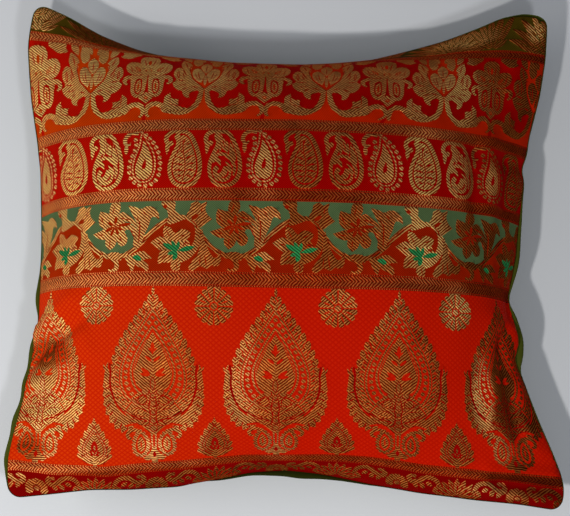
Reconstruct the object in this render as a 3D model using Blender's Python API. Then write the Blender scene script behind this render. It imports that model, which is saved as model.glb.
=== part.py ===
"""Square cushion in brocade: a patterned front cloth and a plain green back cloth, filled, lying on its back.

Axes: +X to the right of the pattern, +Y up the pattern, +Z out of the patterned face.
Both cloths are halves of one filled body. They part along the level seam that runs round the rim.
Over the cloth, u runs from -1 at the left seam to 1 at the right seam, and v the same from bottom to top.
"""
import bpy
import bmesh
import numpy as np

# Sizes in metres
CLOTH_HALF = 0.200
SEAM_HEIGHT = 0.050
SEAM_GAP = 0.0003
CLOTH_EDGE = 0.0014
FRONT_SWELL = 0.0536
BACK_SWELL = 0.0680
FLOOR_CLEAR = 0.0012
CENTRE_X = -0.0012853
CENTRE_Y = 0.0042500

# Cells of the cloth grid across and up, and how much they close up toward the seams
CELLS_ACROSS = 40
CELLS_UP = 52
CLOSE_UP_ACROSS = 0.28
CLOSE_UP_UP = 0.14

# Slope of the cloth at each seam in radians, and how late the cloth turns down toward it
TURN_LEFT, LATE_LEFT = 1.003, 2.62
TURN_RIGHT, LATE_RIGHT = 1.198, 1.74
TURN_TOP, LATE_TOP = 1.792, 1.87
TURN_BOTTOM, LATE_BOTTOM = 1.153, 1.25

# How near the seam the straight seam rule takes over from the swelling
NEAR_LEFT, NEAR_RIGHT = 1.91, 1.50
NEAR_TOP, NEAR_BOTTOM = 1.50, 1.92

# Corner places as shares of the flat cloth, across and up
CORNER_TOP_LEFT = (0.980, 0.965)
CORNER_TOP_RIGHT = (0.974, 0.945)
CORNER_BOTTOM_LEFT = (0.985, 0.913)
CORNER_BOTTOM_RIGHT = (0.985, 0.924)
MIDDLE_SHIFT = -0.0030

# Seam line against the smooth form: place along the side, and millimetres to the right or up
SEAM_LEFT = (
    (-1.0, 1.5), (-0.93, -3.0), (-0.85, -5.5), (-0.77, -4.7), (-0.69, -3.4), (-0.61, -1.2), (-0.53, -0.6),
    (-0.49, 1.0), (-0.37, 1.8), (-0.29, 3.6), (-0.20, 2.5), (0.0, 1.9), (0.24, 0.4), (0.42, -1.9),
    (0.60, -6.5), (0.71, -7.7), (0.82, -8.4), (0.89, -6.5), (0.96, -3.5), (1.0, 0.0),
)
SEAM_RIGHT = (
    (-1.0, 0.0), (-0.92, 6.6), (-0.86, 7.3), (-0.77, 4.9), (-0.65, 0.0), (-0.50, -5.2), (-0.43, -8.6),
    (-0.40, -9.9), (-0.33, -4.5), (-0.25, -6.4), (-0.18, -10.0), (-0.10, -6.2), (0.0, -2.0), (0.15, -0.3),
    (0.31, 0.6), (0.36, -2.9), (0.41, 0.2), (0.49, 0.4), (0.58, 2.5), (0.67, 4.3), (0.82, 4.3), (0.94, 1.9),
    (1.0, 0.0),
)
SEAM_BOTTOM = (
    (-1.0, 0.0), (-0.85, -1.3), (-0.71, -1.6), (-0.56, -4.4), (-0.38, -4.9), (-0.22, -0.6), (-0.13, 3.0),
    (0.0, 4.6), (0.13, 3.3), (0.31, -0.7), (0.49, -2.6), (0.69, -2.2), (0.85, -0.3), (1.0, 0.0),
)
SEAM_TOP = (
    (-1.0, 0.0), (-0.95, 0.9), (-0.87, 0.8), (-0.75, -3.2), (-0.60, -4.5), (-0.3, -1.5), (0.3, 1.5),
    (0.60, 4.2), (0.74, 7.6), (0.82, 10.3), (0.91, 8.6), (1.0, 0.0),
)
SEAM_REACH = 6.0

# Back cloth standing out past the seam: place along the side, and millimetres outward
LIP_LEFT = (
    (-1.0, 0.5), (-0.93, 1.3), (-0.84, 3.6), (-0.74, 2.8), (-0.69, 4.3), (-0.61, 2.1), (-0.53, 3.5),
    (-0.49, 2.3), (-0.40, 3.2), (-0.29, 1.1), (-0.20, 3.6), (-0.08, 0.9), (1.0, 0.8),
)
LIP_RIGHT = (
    (-1.0, 0.5), (-0.65, 1.1), (-0.46, 0.9), (-0.40, 8.0), (-0.33, 4.5), (-0.22, 2.8), (-0.18, 0.7),
    (-0.10, 4.0), (0.05, 3.1), (0.20, 1.5), (0.30, 0.8), (1.0, 0.8),
)
LIP_BOTTOM = ((-1.0, 0.5), (-0.30, 0.5), (-0.10, 2.3), (0.05, 5.0), (0.20, 2.0), (0.35, 0.5), (1.0, 0.5))
LIP_TOP = ((-1.0, 0.8), (1.0, 0.8))
LIP_REACH = 12.0

# Puckers drawn in at the seam: place along the side, half width along it, depth in metres
PUCKERS_LEFT = (
    (-0.86, 0.030, 0.0035), (-0.77, 0.028, 0.0035), (-0.63, 0.032, 0.0045), (-0.50, 0.035, 0.0050),
    (-0.29, 0.045, 0.0065), (0.20, 0.050, 0.0015), (0.55, 0.050, 0.0025),
)
PUCKERS_RIGHT = (
    (-0.62, 0.060, 0.0030), (-0.455, 0.040, 0.0050), (-0.18, 0.050, 0.0080), (0.10, 0.050, 0.0022),
    (0.36, 0.035, 0.0060), (0.60, 0.060, 0.0025),
)
PUCKER_LENGTH = 0.16


def sample(table, place):
    """Value of a named table at a place along a side."""
    places = [row[0] for row in table]
    values = [row[1] for row in table]
    return np.interp(place, places, values)


def turned_path(turn, late, share):
    """Reach and fall of a cloth that turns down from level at the middle to the given slope at the seam."""
    steps = np.linspace(0.0, 1.0, 301)
    slope = turn * steps**late
    middle = (slope[1:] + slope[:-1]) / 2.0
    reach = np.concatenate([[0.0], np.cumsum(np.cos(middle))]) / 300.0
    fall = np.concatenate([[0.0], np.cumsum(np.sin(middle))]) / 300.0
    return np.interp(share, steps, reach), np.interp(share, steps, fall) / fall[-1]


def two_sided_path(low, high, place):
    """Reach and height from one seam to the other, each half with its own turn."""
    share = np.abs(place)
    low_reach, low_fall = turned_path(low[0], low[1], share)
    high_reach, high_fall = turned_path(high[0], high[1], share)
    reach = np.where(place < 0.0, -low_reach, high_reach)
    height = 1.0 - np.where(place < 0.0, low_fall, high_fall)
    return reach, height


def near_seam(place, low_power, high_power):
    """0 at the middle of the cloth and 1 at the seams."""
    share = np.abs(place)
    return np.where(place < 0.0, share**low_power, share**high_power)


def between_corners(u, v, axis):
    """Corner share at a place, mixed from the four corners."""
    left = (1.0 - u) / 2.0
    right = (1.0 + u) / 2.0
    bottom = (1.0 - v) / 2.0
    top = (1.0 + v) / 2.0
    low = left * CORNER_BOTTOM_LEFT[axis] + right * CORNER_BOTTOM_RIGHT[axis]
    high = left * CORNER_TOP_LEFT[axis] + right * CORNER_TOP_RIGHT[axis]
    return bottom * low + top * high


def side_offset(low_table, high_table, across, along, reach):
    """Offset in metres that is full at the two seams and fades inward."""
    fade = np.abs(across)**reach
    value = np.where(across < 0.0, sample(low_table, along), sample(high_table, along))
    return value * 0.001 * fade


def plan_of_cloth(u, v):
    """Places across and up, seen square to the face."""
    across, _ = two_sided_path((TURN_LEFT, LATE_LEFT), (TURN_RIGHT, LATE_RIGHT), u)
    upward, _ = two_sided_path((TURN_BOTTOM, LATE_BOTTOM), (TURN_TOP, LATE_TOP), v)
    edge_u = near_seam(u, NEAR_LEFT, NEAR_RIGHT)
    edge_v = near_seam(v, NEAR_BOTTOM, NEAR_TOP)
    x = CLOTH_HALF * ((1.0 - edge_v) * across + edge_v * between_corners(u, v, 0) * u)
    y = CLOTH_HALF * ((1.0 - edge_u) * upward + edge_u * between_corners(u, v, 1) * v)
    x = x + MIDDLE_SHIFT * (1.0 - u**2) * (1.0 - v**2)
    x = x + side_offset(SEAM_LEFT, SEAM_RIGHT, u, v, SEAM_REACH)
    y = y + side_offset(SEAM_BOTTOM, SEAM_TOP, v, u, SEAM_REACH)
    return x, y


def swell_of_cloth(u, v):
    """0 at the seam and 1 at the crown."""
    _, height_u = two_sided_path((TURN_LEFT, LATE_LEFT), (TURN_RIGHT, LATE_RIGHT), u)
    _, height_v = two_sided_path((TURN_BOTTOM, LATE_BOTTOM), (TURN_TOP, LATE_TOP), v)
    return height_u * height_v


def pucker_depth(u, v):
    """Grooves that run inward from the seam where the thread draws it in."""
    inward = 1.0 - np.abs(u)
    rise = inward / (inward + 0.02)
    fade = rise * np.exp(-inward / PUCKER_LENGTH)
    depth = np.zeros_like(u)
    for place, width, amount in PUCKERS_LEFT:
        depth = depth + np.where(u < 0.0, amount * np.exp(-((v - place) / width)**2), 0.0)
    for place, width, amount in PUCKERS_RIGHT:
        depth = depth + np.where(u > 0.0, amount * np.exp(-((v - place) / width)**2), 0.0)
    return depth * fade


def front_surface(u, v):
    """Outer face of the patterned front cloth."""
    x, y = plan_of_cloth(u, v)
    swell = FRONT_SWELL * swell_of_cloth(u, v)
    groove = np.minimum(pucker_depth(u, v), 0.6 * swell)
    z = SEAM_HEIGHT + SEAM_GAP / 2.0 + CLOTH_EDGE + swell - groove
    return x, y, z


def back_surface(u, v):
    """Outer face of the back cloth. What would hang lower than FLOOR_CLEAR is pressed flat on the floor."""
    x, y = plan_of_cloth(u, v)
    x = x + side_offset(LIP_LEFT, LIP_RIGHT, u, v, LIP_REACH) * np.sign(u)
    y = y + side_offset(LIP_BOTTOM, LIP_TOP, v, u, LIP_REACH) * np.sign(v)
    free = SEAM_HEIGHT - SEAM_GAP / 2.0 - CLOTH_EDGE - BACK_SWELL * swell_of_cloth(u, v)
    z = np.where(free > FLOOR_CLEAR, free, 0.0)
    return x, y, z


def cloth_places(mesh):
    """u and v of every grid corner, closed up toward the seams."""
    a = np.array([vertex.co.x for vertex in mesh.verts])
    b = np.array([vertex.co.y for vertex in mesh.verts])
    u = a * (1.0 + CLOSE_UP_ACROSS - CLOSE_UP_ACROSS * a**2)
    v = b * (1.0 + CLOSE_UP_UP - CLOSE_UP_UP * b**2)
    return u, v


def filled_half(name, surface, seam_face_height, material):
    """One cloth as a solid: its outer face, the edge of the cloth, and the level face at the seam."""
    body = bmesh.new()
    bmesh.ops.create_grid(body, x_segments=CELLS_ACROSS, y_segments=CELLS_UP, size=1.0)
    body.verts.ensure_lookup_table()
    u, v = cloth_places(body)
    x, y, z = surface(u, v)
    for index, vertex in enumerate(body.verts):
        vertex.co = (x[index] - CENTRE_X, y[index] - CENTRE_Y, z[index])
    rim = [edge for edge in body.edges if edge.is_boundary]
    wall = bmesh.ops.extrude_edge_only(body, edges=rim)["geom"]
    lower_rim = [item for item in wall if isinstance(item, bmesh.types.BMEdge) and item.is_boundary]
    for vertex in {end for edge in lower_rim for end in edge.verts}:
        vertex.co.z = seam_face_height
    bmesh.ops.holes_fill(body, edges=lower_rim, sides=0)
    bmesh.ops.recalc_face_normals(body, faces=body.faces)
    data = bpy.data.meshes.new(name)
    body.to_mesh(data)
    body.free()
    data.materials.append(material)
    for polygon in data.polygons:
        polygon.use_smooth = len(polygon.vertices) == 4
    return bpy.data.objects.new(name, data)


def cloth_material(name, color, roughness, sheen):
    """Plain colour of one cloth."""
    material = bpy.data.materials.new(name)
    material.use_nodes = True
    shader = material.node_tree.nodes["Principled BSDF"]
    shader.inputs["Base Color"].default_value = (*color, 1.0)
    shader.inputs["Roughness"].default_value = roughness
    shader.inputs["Sheen Weight"].default_value = sheen
    return material


def build():
    """Both cloths in one collection."""
    for item in list(bpy.data.objects):
        bpy.data.objects.remove(item, do_unlink=True)
    collection = bpy.data.collections.new("brocade_cushion")
    bpy.context.scene.collection.children.link(collection)
    brocade = cloth_material("brocade_silk", (0.55, 0.05, 0.012), 0.42, 0.2)
    plain = cloth_material("green_silk", (0.075, 0.085, 0.018), 0.5, 0.3)
    front_face = SEAM_HEIGHT + SEAM_GAP / 2.0
    back_face = SEAM_HEIGHT - SEAM_GAP / 2.0
    collection.objects.link(filled_half("front_panel", front_surface, front_face, brocade))
    collection.objects.link(filled_half("back_panel", back_surface, back_face, plain))


build()
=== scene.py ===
"""Looks of the square brocade cushion: woven front cloth, plain back cloth, finishes, floor, light, camera.

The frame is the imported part: +X to the right of the pattern, +Y up the pattern, +Z out of the patterned face.
"""
import math

import bmesh
import bpy
import numpy as np
from mathutils import Matrix, Vector
from mathutils.geometry import delaunay_2d_cdt


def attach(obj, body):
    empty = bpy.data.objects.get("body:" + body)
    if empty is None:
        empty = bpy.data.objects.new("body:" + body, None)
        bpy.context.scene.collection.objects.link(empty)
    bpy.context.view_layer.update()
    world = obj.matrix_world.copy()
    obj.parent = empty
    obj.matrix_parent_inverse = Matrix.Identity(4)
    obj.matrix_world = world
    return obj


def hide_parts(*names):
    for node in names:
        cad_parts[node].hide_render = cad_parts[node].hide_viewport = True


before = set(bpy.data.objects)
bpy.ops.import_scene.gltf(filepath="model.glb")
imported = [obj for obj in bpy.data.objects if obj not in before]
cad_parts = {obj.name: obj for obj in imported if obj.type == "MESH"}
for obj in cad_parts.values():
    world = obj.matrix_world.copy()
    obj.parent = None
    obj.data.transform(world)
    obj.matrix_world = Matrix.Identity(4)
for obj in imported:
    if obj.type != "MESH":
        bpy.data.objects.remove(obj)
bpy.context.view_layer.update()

# Form of the cushion, the same named sizes in metres as the part's own source has
CLOTH_HALF = 0.200
SEAM_HEIGHT = 0.050
SEAM_GAP = 0.0003
CLOTH_EDGE = 0.0014
FRONT_SWELL = 0.0536
BACK_SWELL = 0.0680
FLOOR_CLEAR = 0.0012
CENTRE_X = -0.0012853
CENTRE_Y = 0.0042500
TURN_LEFT, LATE_LEFT = 1.003, 2.62
TURN_RIGHT, LATE_RIGHT = 1.198, 1.74
TURN_TOP, LATE_TOP = 1.792, 1.87
TURN_BOTTOM, LATE_BOTTOM = 1.153, 1.25
NEAR_LEFT, NEAR_RIGHT = 1.91, 1.50
NEAR_TOP, NEAR_BOTTOM = 1.50, 1.92
CORNER_TOP_LEFT = (0.980, 0.965)
CORNER_TOP_RIGHT = (0.974, 0.945)
CORNER_BOTTOM_LEFT = (0.985, 0.913)
CORNER_BOTTOM_RIGHT = (0.985, 0.924)
MIDDLE_SHIFT = -0.0030
MM = 0.001
# Steps from the middle to a seam in which a cloth's turn is added up
PATH_STEPS = 300

# Seam line against the smooth form: place along the side, and millimetres to the right or up
SEAM_LEFT = (
    (-1.0, 1.5), (-0.93, -3.0), (-0.85, -5.5), (-0.77, -4.7), (-0.69, -3.4), (-0.61, -1.2), (-0.53, -0.6),
    (-0.49, 1.0), (-0.37, 1.8), (-0.29, 3.6), (-0.20, 2.5), (0.0, 1.9), (0.24, 0.4), (0.42, -1.9),
    (0.60, -6.5), (0.71, -7.7), (0.82, -8.4), (0.89, -6.5), (0.96, -3.5), (1.0, 0.0),
)
SEAM_RIGHT = (
    (-1.0, 0.0), (-0.92, 6.6), (-0.86, 7.3), (-0.77, 4.9), (-0.65, 0.0), (-0.50, -5.2), (-0.43, -8.6),
    (-0.40, -9.9), (-0.33, -4.5), (-0.25, -6.4), (-0.18, -10.0), (-0.10, -6.2), (0.0, -2.0), (0.15, -0.3),
    (0.31, 0.6), (0.36, -2.9), (0.41, 0.2), (0.49, 0.4), (0.58, 2.5), (0.67, 4.3), (0.82, 4.3), (0.94, 1.9),
    (1.0, 0.0),
)
SEAM_BOTTOM = (
    (-1.0, 0.0), (-0.85, -1.3), (-0.71, -1.6), (-0.56, -4.4), (-0.38, -4.9), (-0.22, -0.6), (-0.13, 3.0),
    (0.0, 4.6), (0.13, 3.3), (0.31, -0.7), (0.49, -2.6), (0.69, -2.2), (0.85, -0.3), (1.0, 0.0),
)
SEAM_TOP = (
    (-1.0, 0.0), (-0.95, 0.9), (-0.87, 0.8), (-0.75, -3.2), (-0.60, -4.5), (-0.3, -1.5), (0.3, 1.5),
    (0.60, 4.2), (0.74, 7.6), (0.82, 10.3), (0.91, 8.6), (1.0, 0.0),
)
SEAM_REACH = 6.0

# Back cloth standing out past the seam: place along the side, and millimetres outward
LIP_LEFT = (
    (-1.0, 0.5), (-0.93, 1.3), (-0.84, 3.6), (-0.74, 2.8), (-0.69, 4.3), (-0.61, 2.1), (-0.53, 3.5),
    (-0.49, 2.3), (-0.40, 3.2), (-0.29, 1.1), (-0.20, 3.6), (-0.08, 0.9), (1.0, 0.8),
)
LIP_RIGHT = (
    (-1.0, 0.5), (-0.65, 1.1), (-0.46, 0.9), (-0.40, 8.0), (-0.33, 4.5), (-0.22, 2.8), (-0.18, 0.7),
    (-0.10, 4.0), (0.05, 3.1), (0.20, 1.5), (0.30, 0.8), (1.0, 0.8),
)
LIP_BOTTOM = ((-1.0, 0.5), (-0.30, 0.5), (-0.10, 2.3), (0.05, 5.0), (0.20, 2.0), (0.35, 0.5), (1.0, 0.5))
LIP_TOP = ((-1.0, 0.8), (1.0, 0.8))
LIP_REACH = 12.0

# Puckers drawn in at the seam: place along the side, half width along it, depth in metres
PUCKERS_LEFT = (
    (-0.86, 0.030, 0.0035), (-0.77, 0.028, 0.0035), (-0.63, 0.032, 0.0045), (-0.50, 0.035, 0.0050),
    (-0.29, 0.045, 0.0065), (0.20, 0.050, 0.0015), (0.55, 0.050, 0.0025),
)
PUCKERS_RIGHT = (
    (-0.62, 0.060, 0.0030), (-0.455, 0.040, 0.0050), (-0.18, 0.050, 0.0080), (0.10, 0.050, 0.0022),
    (0.36, 0.035, 0.0060), (0.60, 0.060, 0.0025),
)
PUCKER_RISE = 0.02
PUCKER_LENGTH = 0.16
DEEPEST_SHARE = 0.6
# Steps along a side over which a table is averaged, so that it has no corners
SMOOTHING = (-0.024, -0.012, 0.0, 0.012, 0.024)


def sample(table, place):
    """Value of a named table at a place along a side, with its corners smoothed."""
    places = [row[0] for row in table]
    values = [row[1] for row in table]
    return sum(np.interp(place + step, places, values) for step in SMOOTHING) / len(SMOOTHING)


def turned_path(turn, late, share):
    """Reach and fall of a cloth that turns down from level at the middle to the given slope at the seam."""
    steps = np.linspace(0.0, 1.0, PATH_STEPS + 1)
    slope = turn * steps**late
    middle = (slope[1:] + slope[:-1]) / 2.0
    reach = np.concatenate([[0.0], np.cumsum(np.cos(middle))]) / PATH_STEPS
    fall = np.concatenate([[0.0], np.cumsum(np.sin(middle))]) / PATH_STEPS
    return np.interp(share, steps, reach), np.interp(share, steps, fall) / fall[-1]


def two_sided_path(low, high, place):
    """Reach and height from one seam to the other, each half with its own turn."""
    share = np.abs(place)
    low_reach, low_fall = turned_path(low[0], low[1], share)
    high_reach, high_fall = turned_path(high[0], high[1], share)
    reach = np.where(place < 0.0, -low_reach, high_reach)
    height = 1.0 - np.where(place < 0.0, low_fall, high_fall)
    return reach, height


def near_seam(place, low_power, high_power):
    """0 at the middle of the cloth and 1 at the seams."""
    share = np.abs(place)
    return np.where(place < 0.0, share**low_power, share**high_power)


def between_corners(u, v, axis):
    """Corner share at a place, mixed from the four corners."""
    left = (1.0 - u) / 2.0
    right = (1.0 + u) / 2.0
    bottom = (1.0 - v) / 2.0
    top = (1.0 + v) / 2.0
    low = left * CORNER_BOTTOM_LEFT[axis] + right * CORNER_BOTTOM_RIGHT[axis]
    high = left * CORNER_TOP_LEFT[axis] + right * CORNER_TOP_RIGHT[axis]
    return bottom * low + top * high


def side_offset(low_table, high_table, across, along, reach):
    """Offset in metres that is full at the two seams and fades inward."""
    fade = np.abs(across)**reach
    value = np.where(across < 0.0, sample(low_table, along), sample(high_table, along))
    return value * MM * fade


def plan_of_cloth(u, v):
    """Places across and up, seen square to the face."""
    across, _ = two_sided_path((TURN_LEFT, LATE_LEFT), (TURN_RIGHT, LATE_RIGHT), u)
    upward, _ = two_sided_path((TURN_BOTTOM, LATE_BOTTOM), (TURN_TOP, LATE_TOP), v)
    edge_u = near_seam(u, NEAR_LEFT, NEAR_RIGHT)
    edge_v = near_seam(v, NEAR_BOTTOM, NEAR_TOP)
    x = CLOTH_HALF * ((1.0 - edge_v) * across + edge_v * between_corners(u, v, 0) * u)
    y = CLOTH_HALF * ((1.0 - edge_u) * upward + edge_u * between_corners(u, v, 1) * v)
    x = x + MIDDLE_SHIFT * (1.0 - u**2) * (1.0 - v**2)
    x = x + side_offset(SEAM_LEFT, SEAM_RIGHT, u, v, SEAM_REACH)
    y = y + side_offset(SEAM_BOTTOM, SEAM_TOP, v, u, SEAM_REACH)
    return x, y


def swell_of_cloth(u, v):
    """0 at the seam and 1 at the crown."""
    _, height_u = two_sided_path((TURN_LEFT, LATE_LEFT), (TURN_RIGHT, LATE_RIGHT), u)
    _, height_v = two_sided_path((TURN_BOTTOM, LATE_BOTTOM), (TURN_TOP, LATE_TOP), v)
    return height_u * height_v


def pucker_depth(u, v):
    """Grooves that run inward from the seam where the thread draws it in."""
    inward = 1.0 - np.abs(u)
    rise = inward / (inward + PUCKER_RISE)
    fade = rise * np.exp(-inward / PUCKER_LENGTH)
    depth = np.zeros_like(u)
    for place, width, amount in PUCKERS_LEFT:
        depth = depth + np.where(u < 0.0, amount * np.exp(-((v - place) / width)**2), 0.0)
    for place, width, amount in PUCKERS_RIGHT:
        depth = depth + np.where(u > 0.0, amount * np.exp(-((v - place) / width)**2), 0.0)
    return depth * fade


def front_surface(u, v):
    """Outer face of the patterned front cloth."""
    x, y = plan_of_cloth(u, v)
    swell = FRONT_SWELL * swell_of_cloth(u, v)
    groove = np.minimum(pucker_depth(u, v), DEEPEST_SHARE * swell)
    z = SEAM_HEIGHT + SEAM_GAP / 2.0 + CLOTH_EDGE + swell - groove
    return x, y, z


def back_surface(u, v):
    """Outer face of the back cloth. What would hang lower than FLOOR_CLEAR is pressed flat on the floor."""
    x, y = plan_of_cloth(u, v)
    x = x + side_offset(LIP_LEFT, LIP_RIGHT, u, v, LIP_REACH) * np.sign(u)
    y = y + side_offset(LIP_BOTTOM, LIP_TOP, v, u, LIP_REACH) * np.sign(v)
    free = SEAM_HEIGHT - SEAM_GAP / 2.0 - CLOTH_EDGE - BACK_SWELL * swell_of_cloth(u, v)
    z = np.where(free > FLOOR_CLEAR, free, 0.0)
    return x, y, z


# Woven pattern, in millimetres over the flat cloth: s to the right and t up, from the middle of the cloth
REPEAT = 86.9
FALL, RISE, PLAIN, FINE = "gold_fall", "gold_rise", "gold_plain", "gold_fine"
OTHER_LEAN = {FALL: RISE, RISE: FALL}
# Millimetres between the points of a curve, and of a curve that is measured
STEP = 1.6
FINE_STEP = 0.4
# Power that fills out a leaf, and turn in radians of a round spot's first point
LEAF_POWER = 0.85
FIRST_TURN = 0.3


# Drawing of shapes: each is a colour and a closed outline, and a later shape lies over an earlier one
def smooth(points, closed=True, step=STEP):
    """Smooth curve through points. A point written twice running is a sharp corner."""
    points = [tuple(map(float, point)) for point in points]
    places = []
    for point in points:
        if places and places[-1][0] == point:
            places[-1][1] = True
        else:
            places.append([point, False])
    count = len(places)
    result = []
    for index in range(count if closed else count - 1):
        (start, sharp), (end, end_sharp) = places[index], places[(index + 1) % count]
        before = places[index - 1][0] if (closed or index > 0) and not sharp else start
        later = (index + 2) % count if closed else min(index + 2, count - 1)
        after = places[later][0] if not end_sharp else end
        start, end, before, after = map(np.array, (start, end, before, after))
        length = np.hypot(*(end - start))
        parts = max(1, int(math.ceil(length / step)))
        leave = (end - before) / 2
        arrive = (after - start) / 2
        for part in range(parts):
            f = part / parts
            place = (2 * f**3 - 3 * f**2 + 1) * start + (f**3 - 2 * f**2 + f) * leave
            place = place + (3 * f**2 - 2 * f**3) * end + (f**3 - f**2) * arrive
            result.append(place)
    if not closed:
        result.append(np.array(places[-1][0]))
    return np.array(result)


def blob(colour, points):
    """One smooth closed shape."""
    return [(colour, smooth(points))]


def half(colour, points):
    """A closed shape that is alike left and right of s = 0, from the points of its right side."""
    right = smooth(points, closed=False)
    left = right[::-1] * (-1, 1)
    keep = [point for point in left if abs(point[0]) > 0.05]
    return [(colour, np.array(list(right) + keep))]


def round_spot(colour, s, t, radius, tall=1, sides=9):
    """A round or oval spot."""
    turn = np.linspace(0, 2 * math.pi, sides, endpoint=False) + FIRST_TURN
    return [(colour, np.stack([s + radius * np.cos(turn), t + radius * tall * np.sin(turn)], 1))]


def leaf(colour, root, tip, width, bow=0, belly=0.45):
    """A leaf pointed at both ends, widest at belly of its length, bowed to its left by bow."""
    root, tip = np.array(root, float), np.array(tip, float)
    along = tip - root
    length = np.hypot(*along)
    side = np.array([-along[1], along[0]]) / length
    parts = max(3, int(round(length / STEP / 1.2)))
    share = np.linspace(0, 1, parts + 1)
    power = math.log(0.5) / math.log(belly)
    girth = width / 2 * np.sin(math.pi * share**power)**LEAF_POWER
    middle = root + along * share[:, None] + side * (bow * np.sin(math.pi * share))[:, None]
    one = middle + side * girth[:, None]
    two = middle - side * girth[:, None]
    return [(colour, np.concatenate([one, two[-2:0:-1]]))]


def leaves(colour, *rows):
    """Leaves of one colour, each row as foot s and t, tip s and t, width, and bow and belly where given."""
    return [shape for s0, t0, s1, t1, *form in rows for shape in leaf(colour, (s0, t0), (s1, t1), *form)]


def blobs(colour, *outlines):
    """Smooth closed shapes of one colour."""
    return [shape for outline in outlines for shape in blob(colour, outline)]


def beads(colour, places, radius, sides=8):
    """Round spots of one size."""
    return [shape for s, t in places for shape in round_spot(colour, s, t, radius, sides=sides)]


def ringed(rim, colour, s, t, outer, radius, sides):
    """A round spot with a wider one of another colour under it."""
    return round_spot(rim, s, t, outer, sides=sides) + round_spot(colour, s, t, radius, sides=sides)


def ribbon(colour, points, widths, closed=False):
    """A flat line of changing width, as a row of four-sided pieces."""
    line = smooth(points, closed=closed)
    if closed:
        line = np.concatenate([line, line[:1]])
    run = length_along(line)
    widths = np.interp(run / run[-1], np.linspace(0, 1, len(widths)), widths)
    heading = np.gradient(line, axis=0)
    if closed:
        heading[0] = heading[-1] = line[1] - line[-2]
    heading = heading / np.hypot(heading[:, 0], heading[:, 1])[:, None]
    side = np.stack([-heading[:, 1], heading[:, 0]], 1) * (widths / 2)[:, None]
    one, two = line + side, line - side
    return [(colour, np.array([one[i], one[i + 1], two[i + 1], two[i]])) for i in range(len(line) - 1)]


def strip(colour, t0, t1):
    """A plain strip right across one repeat."""
    return [(colour, np.array([(0, t0), (REPEAT, t0), (REPEAT, t1), (0, t1)], float))]


def length_along(line):
    """Length of a line up to each of its points."""
    step = np.diff(line, axis=0)
    return np.concatenate([[0], np.cumsum(np.hypot(step[:, 0], step[:, 1]))])


def evenly(points, count, closed=True):
    """Evenly spaced places along a smooth curve, each with its outward direction for a clockwise curve."""
    line = smooth(points, closed=closed, step=FINE_STEP)
    if closed:
        line = np.concatenate([line, line[:1]])
    run = length_along(line)
    places = np.linspace(0, run[-1], count, endpoint=not closed)
    behind, spot, ahead = (
        np.stack([np.interp(places + shift, run, line[:, axis]) for axis in (0, 1)], 1)
        for shift in (-0.5, 0, 0.5)
    )
    heading = ahead - behind
    heading = heading / np.hypot(heading[:, 0], heading[:, 1])[:, None]
    return spot, np.stack([-heading[:, 1], heading[:, 0]], 1)


def moved(shapes, s):
    """The same shapes farther to the right."""
    return [(colour, outline + (s, 0)) for colour, outline in shapes]


def mirrored(shapes):
    """The shapes turned over about s = 0, with the lean of the gold turned too."""
    return [(OTHER_LEAN.get(colour, colour), outline[::-1] * (-1, 1)) for colour, outline in shapes]


def both_sides(shapes):
    """The shapes and their mirror image."""
    return shapes + mirrored(shapes)


def direction(turn):
    """Direction as s and t, turned in degrees from the right toward up."""
    return np.array([math.cos(math.radians(turn)), math.sin(math.radians(turn))])


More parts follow.
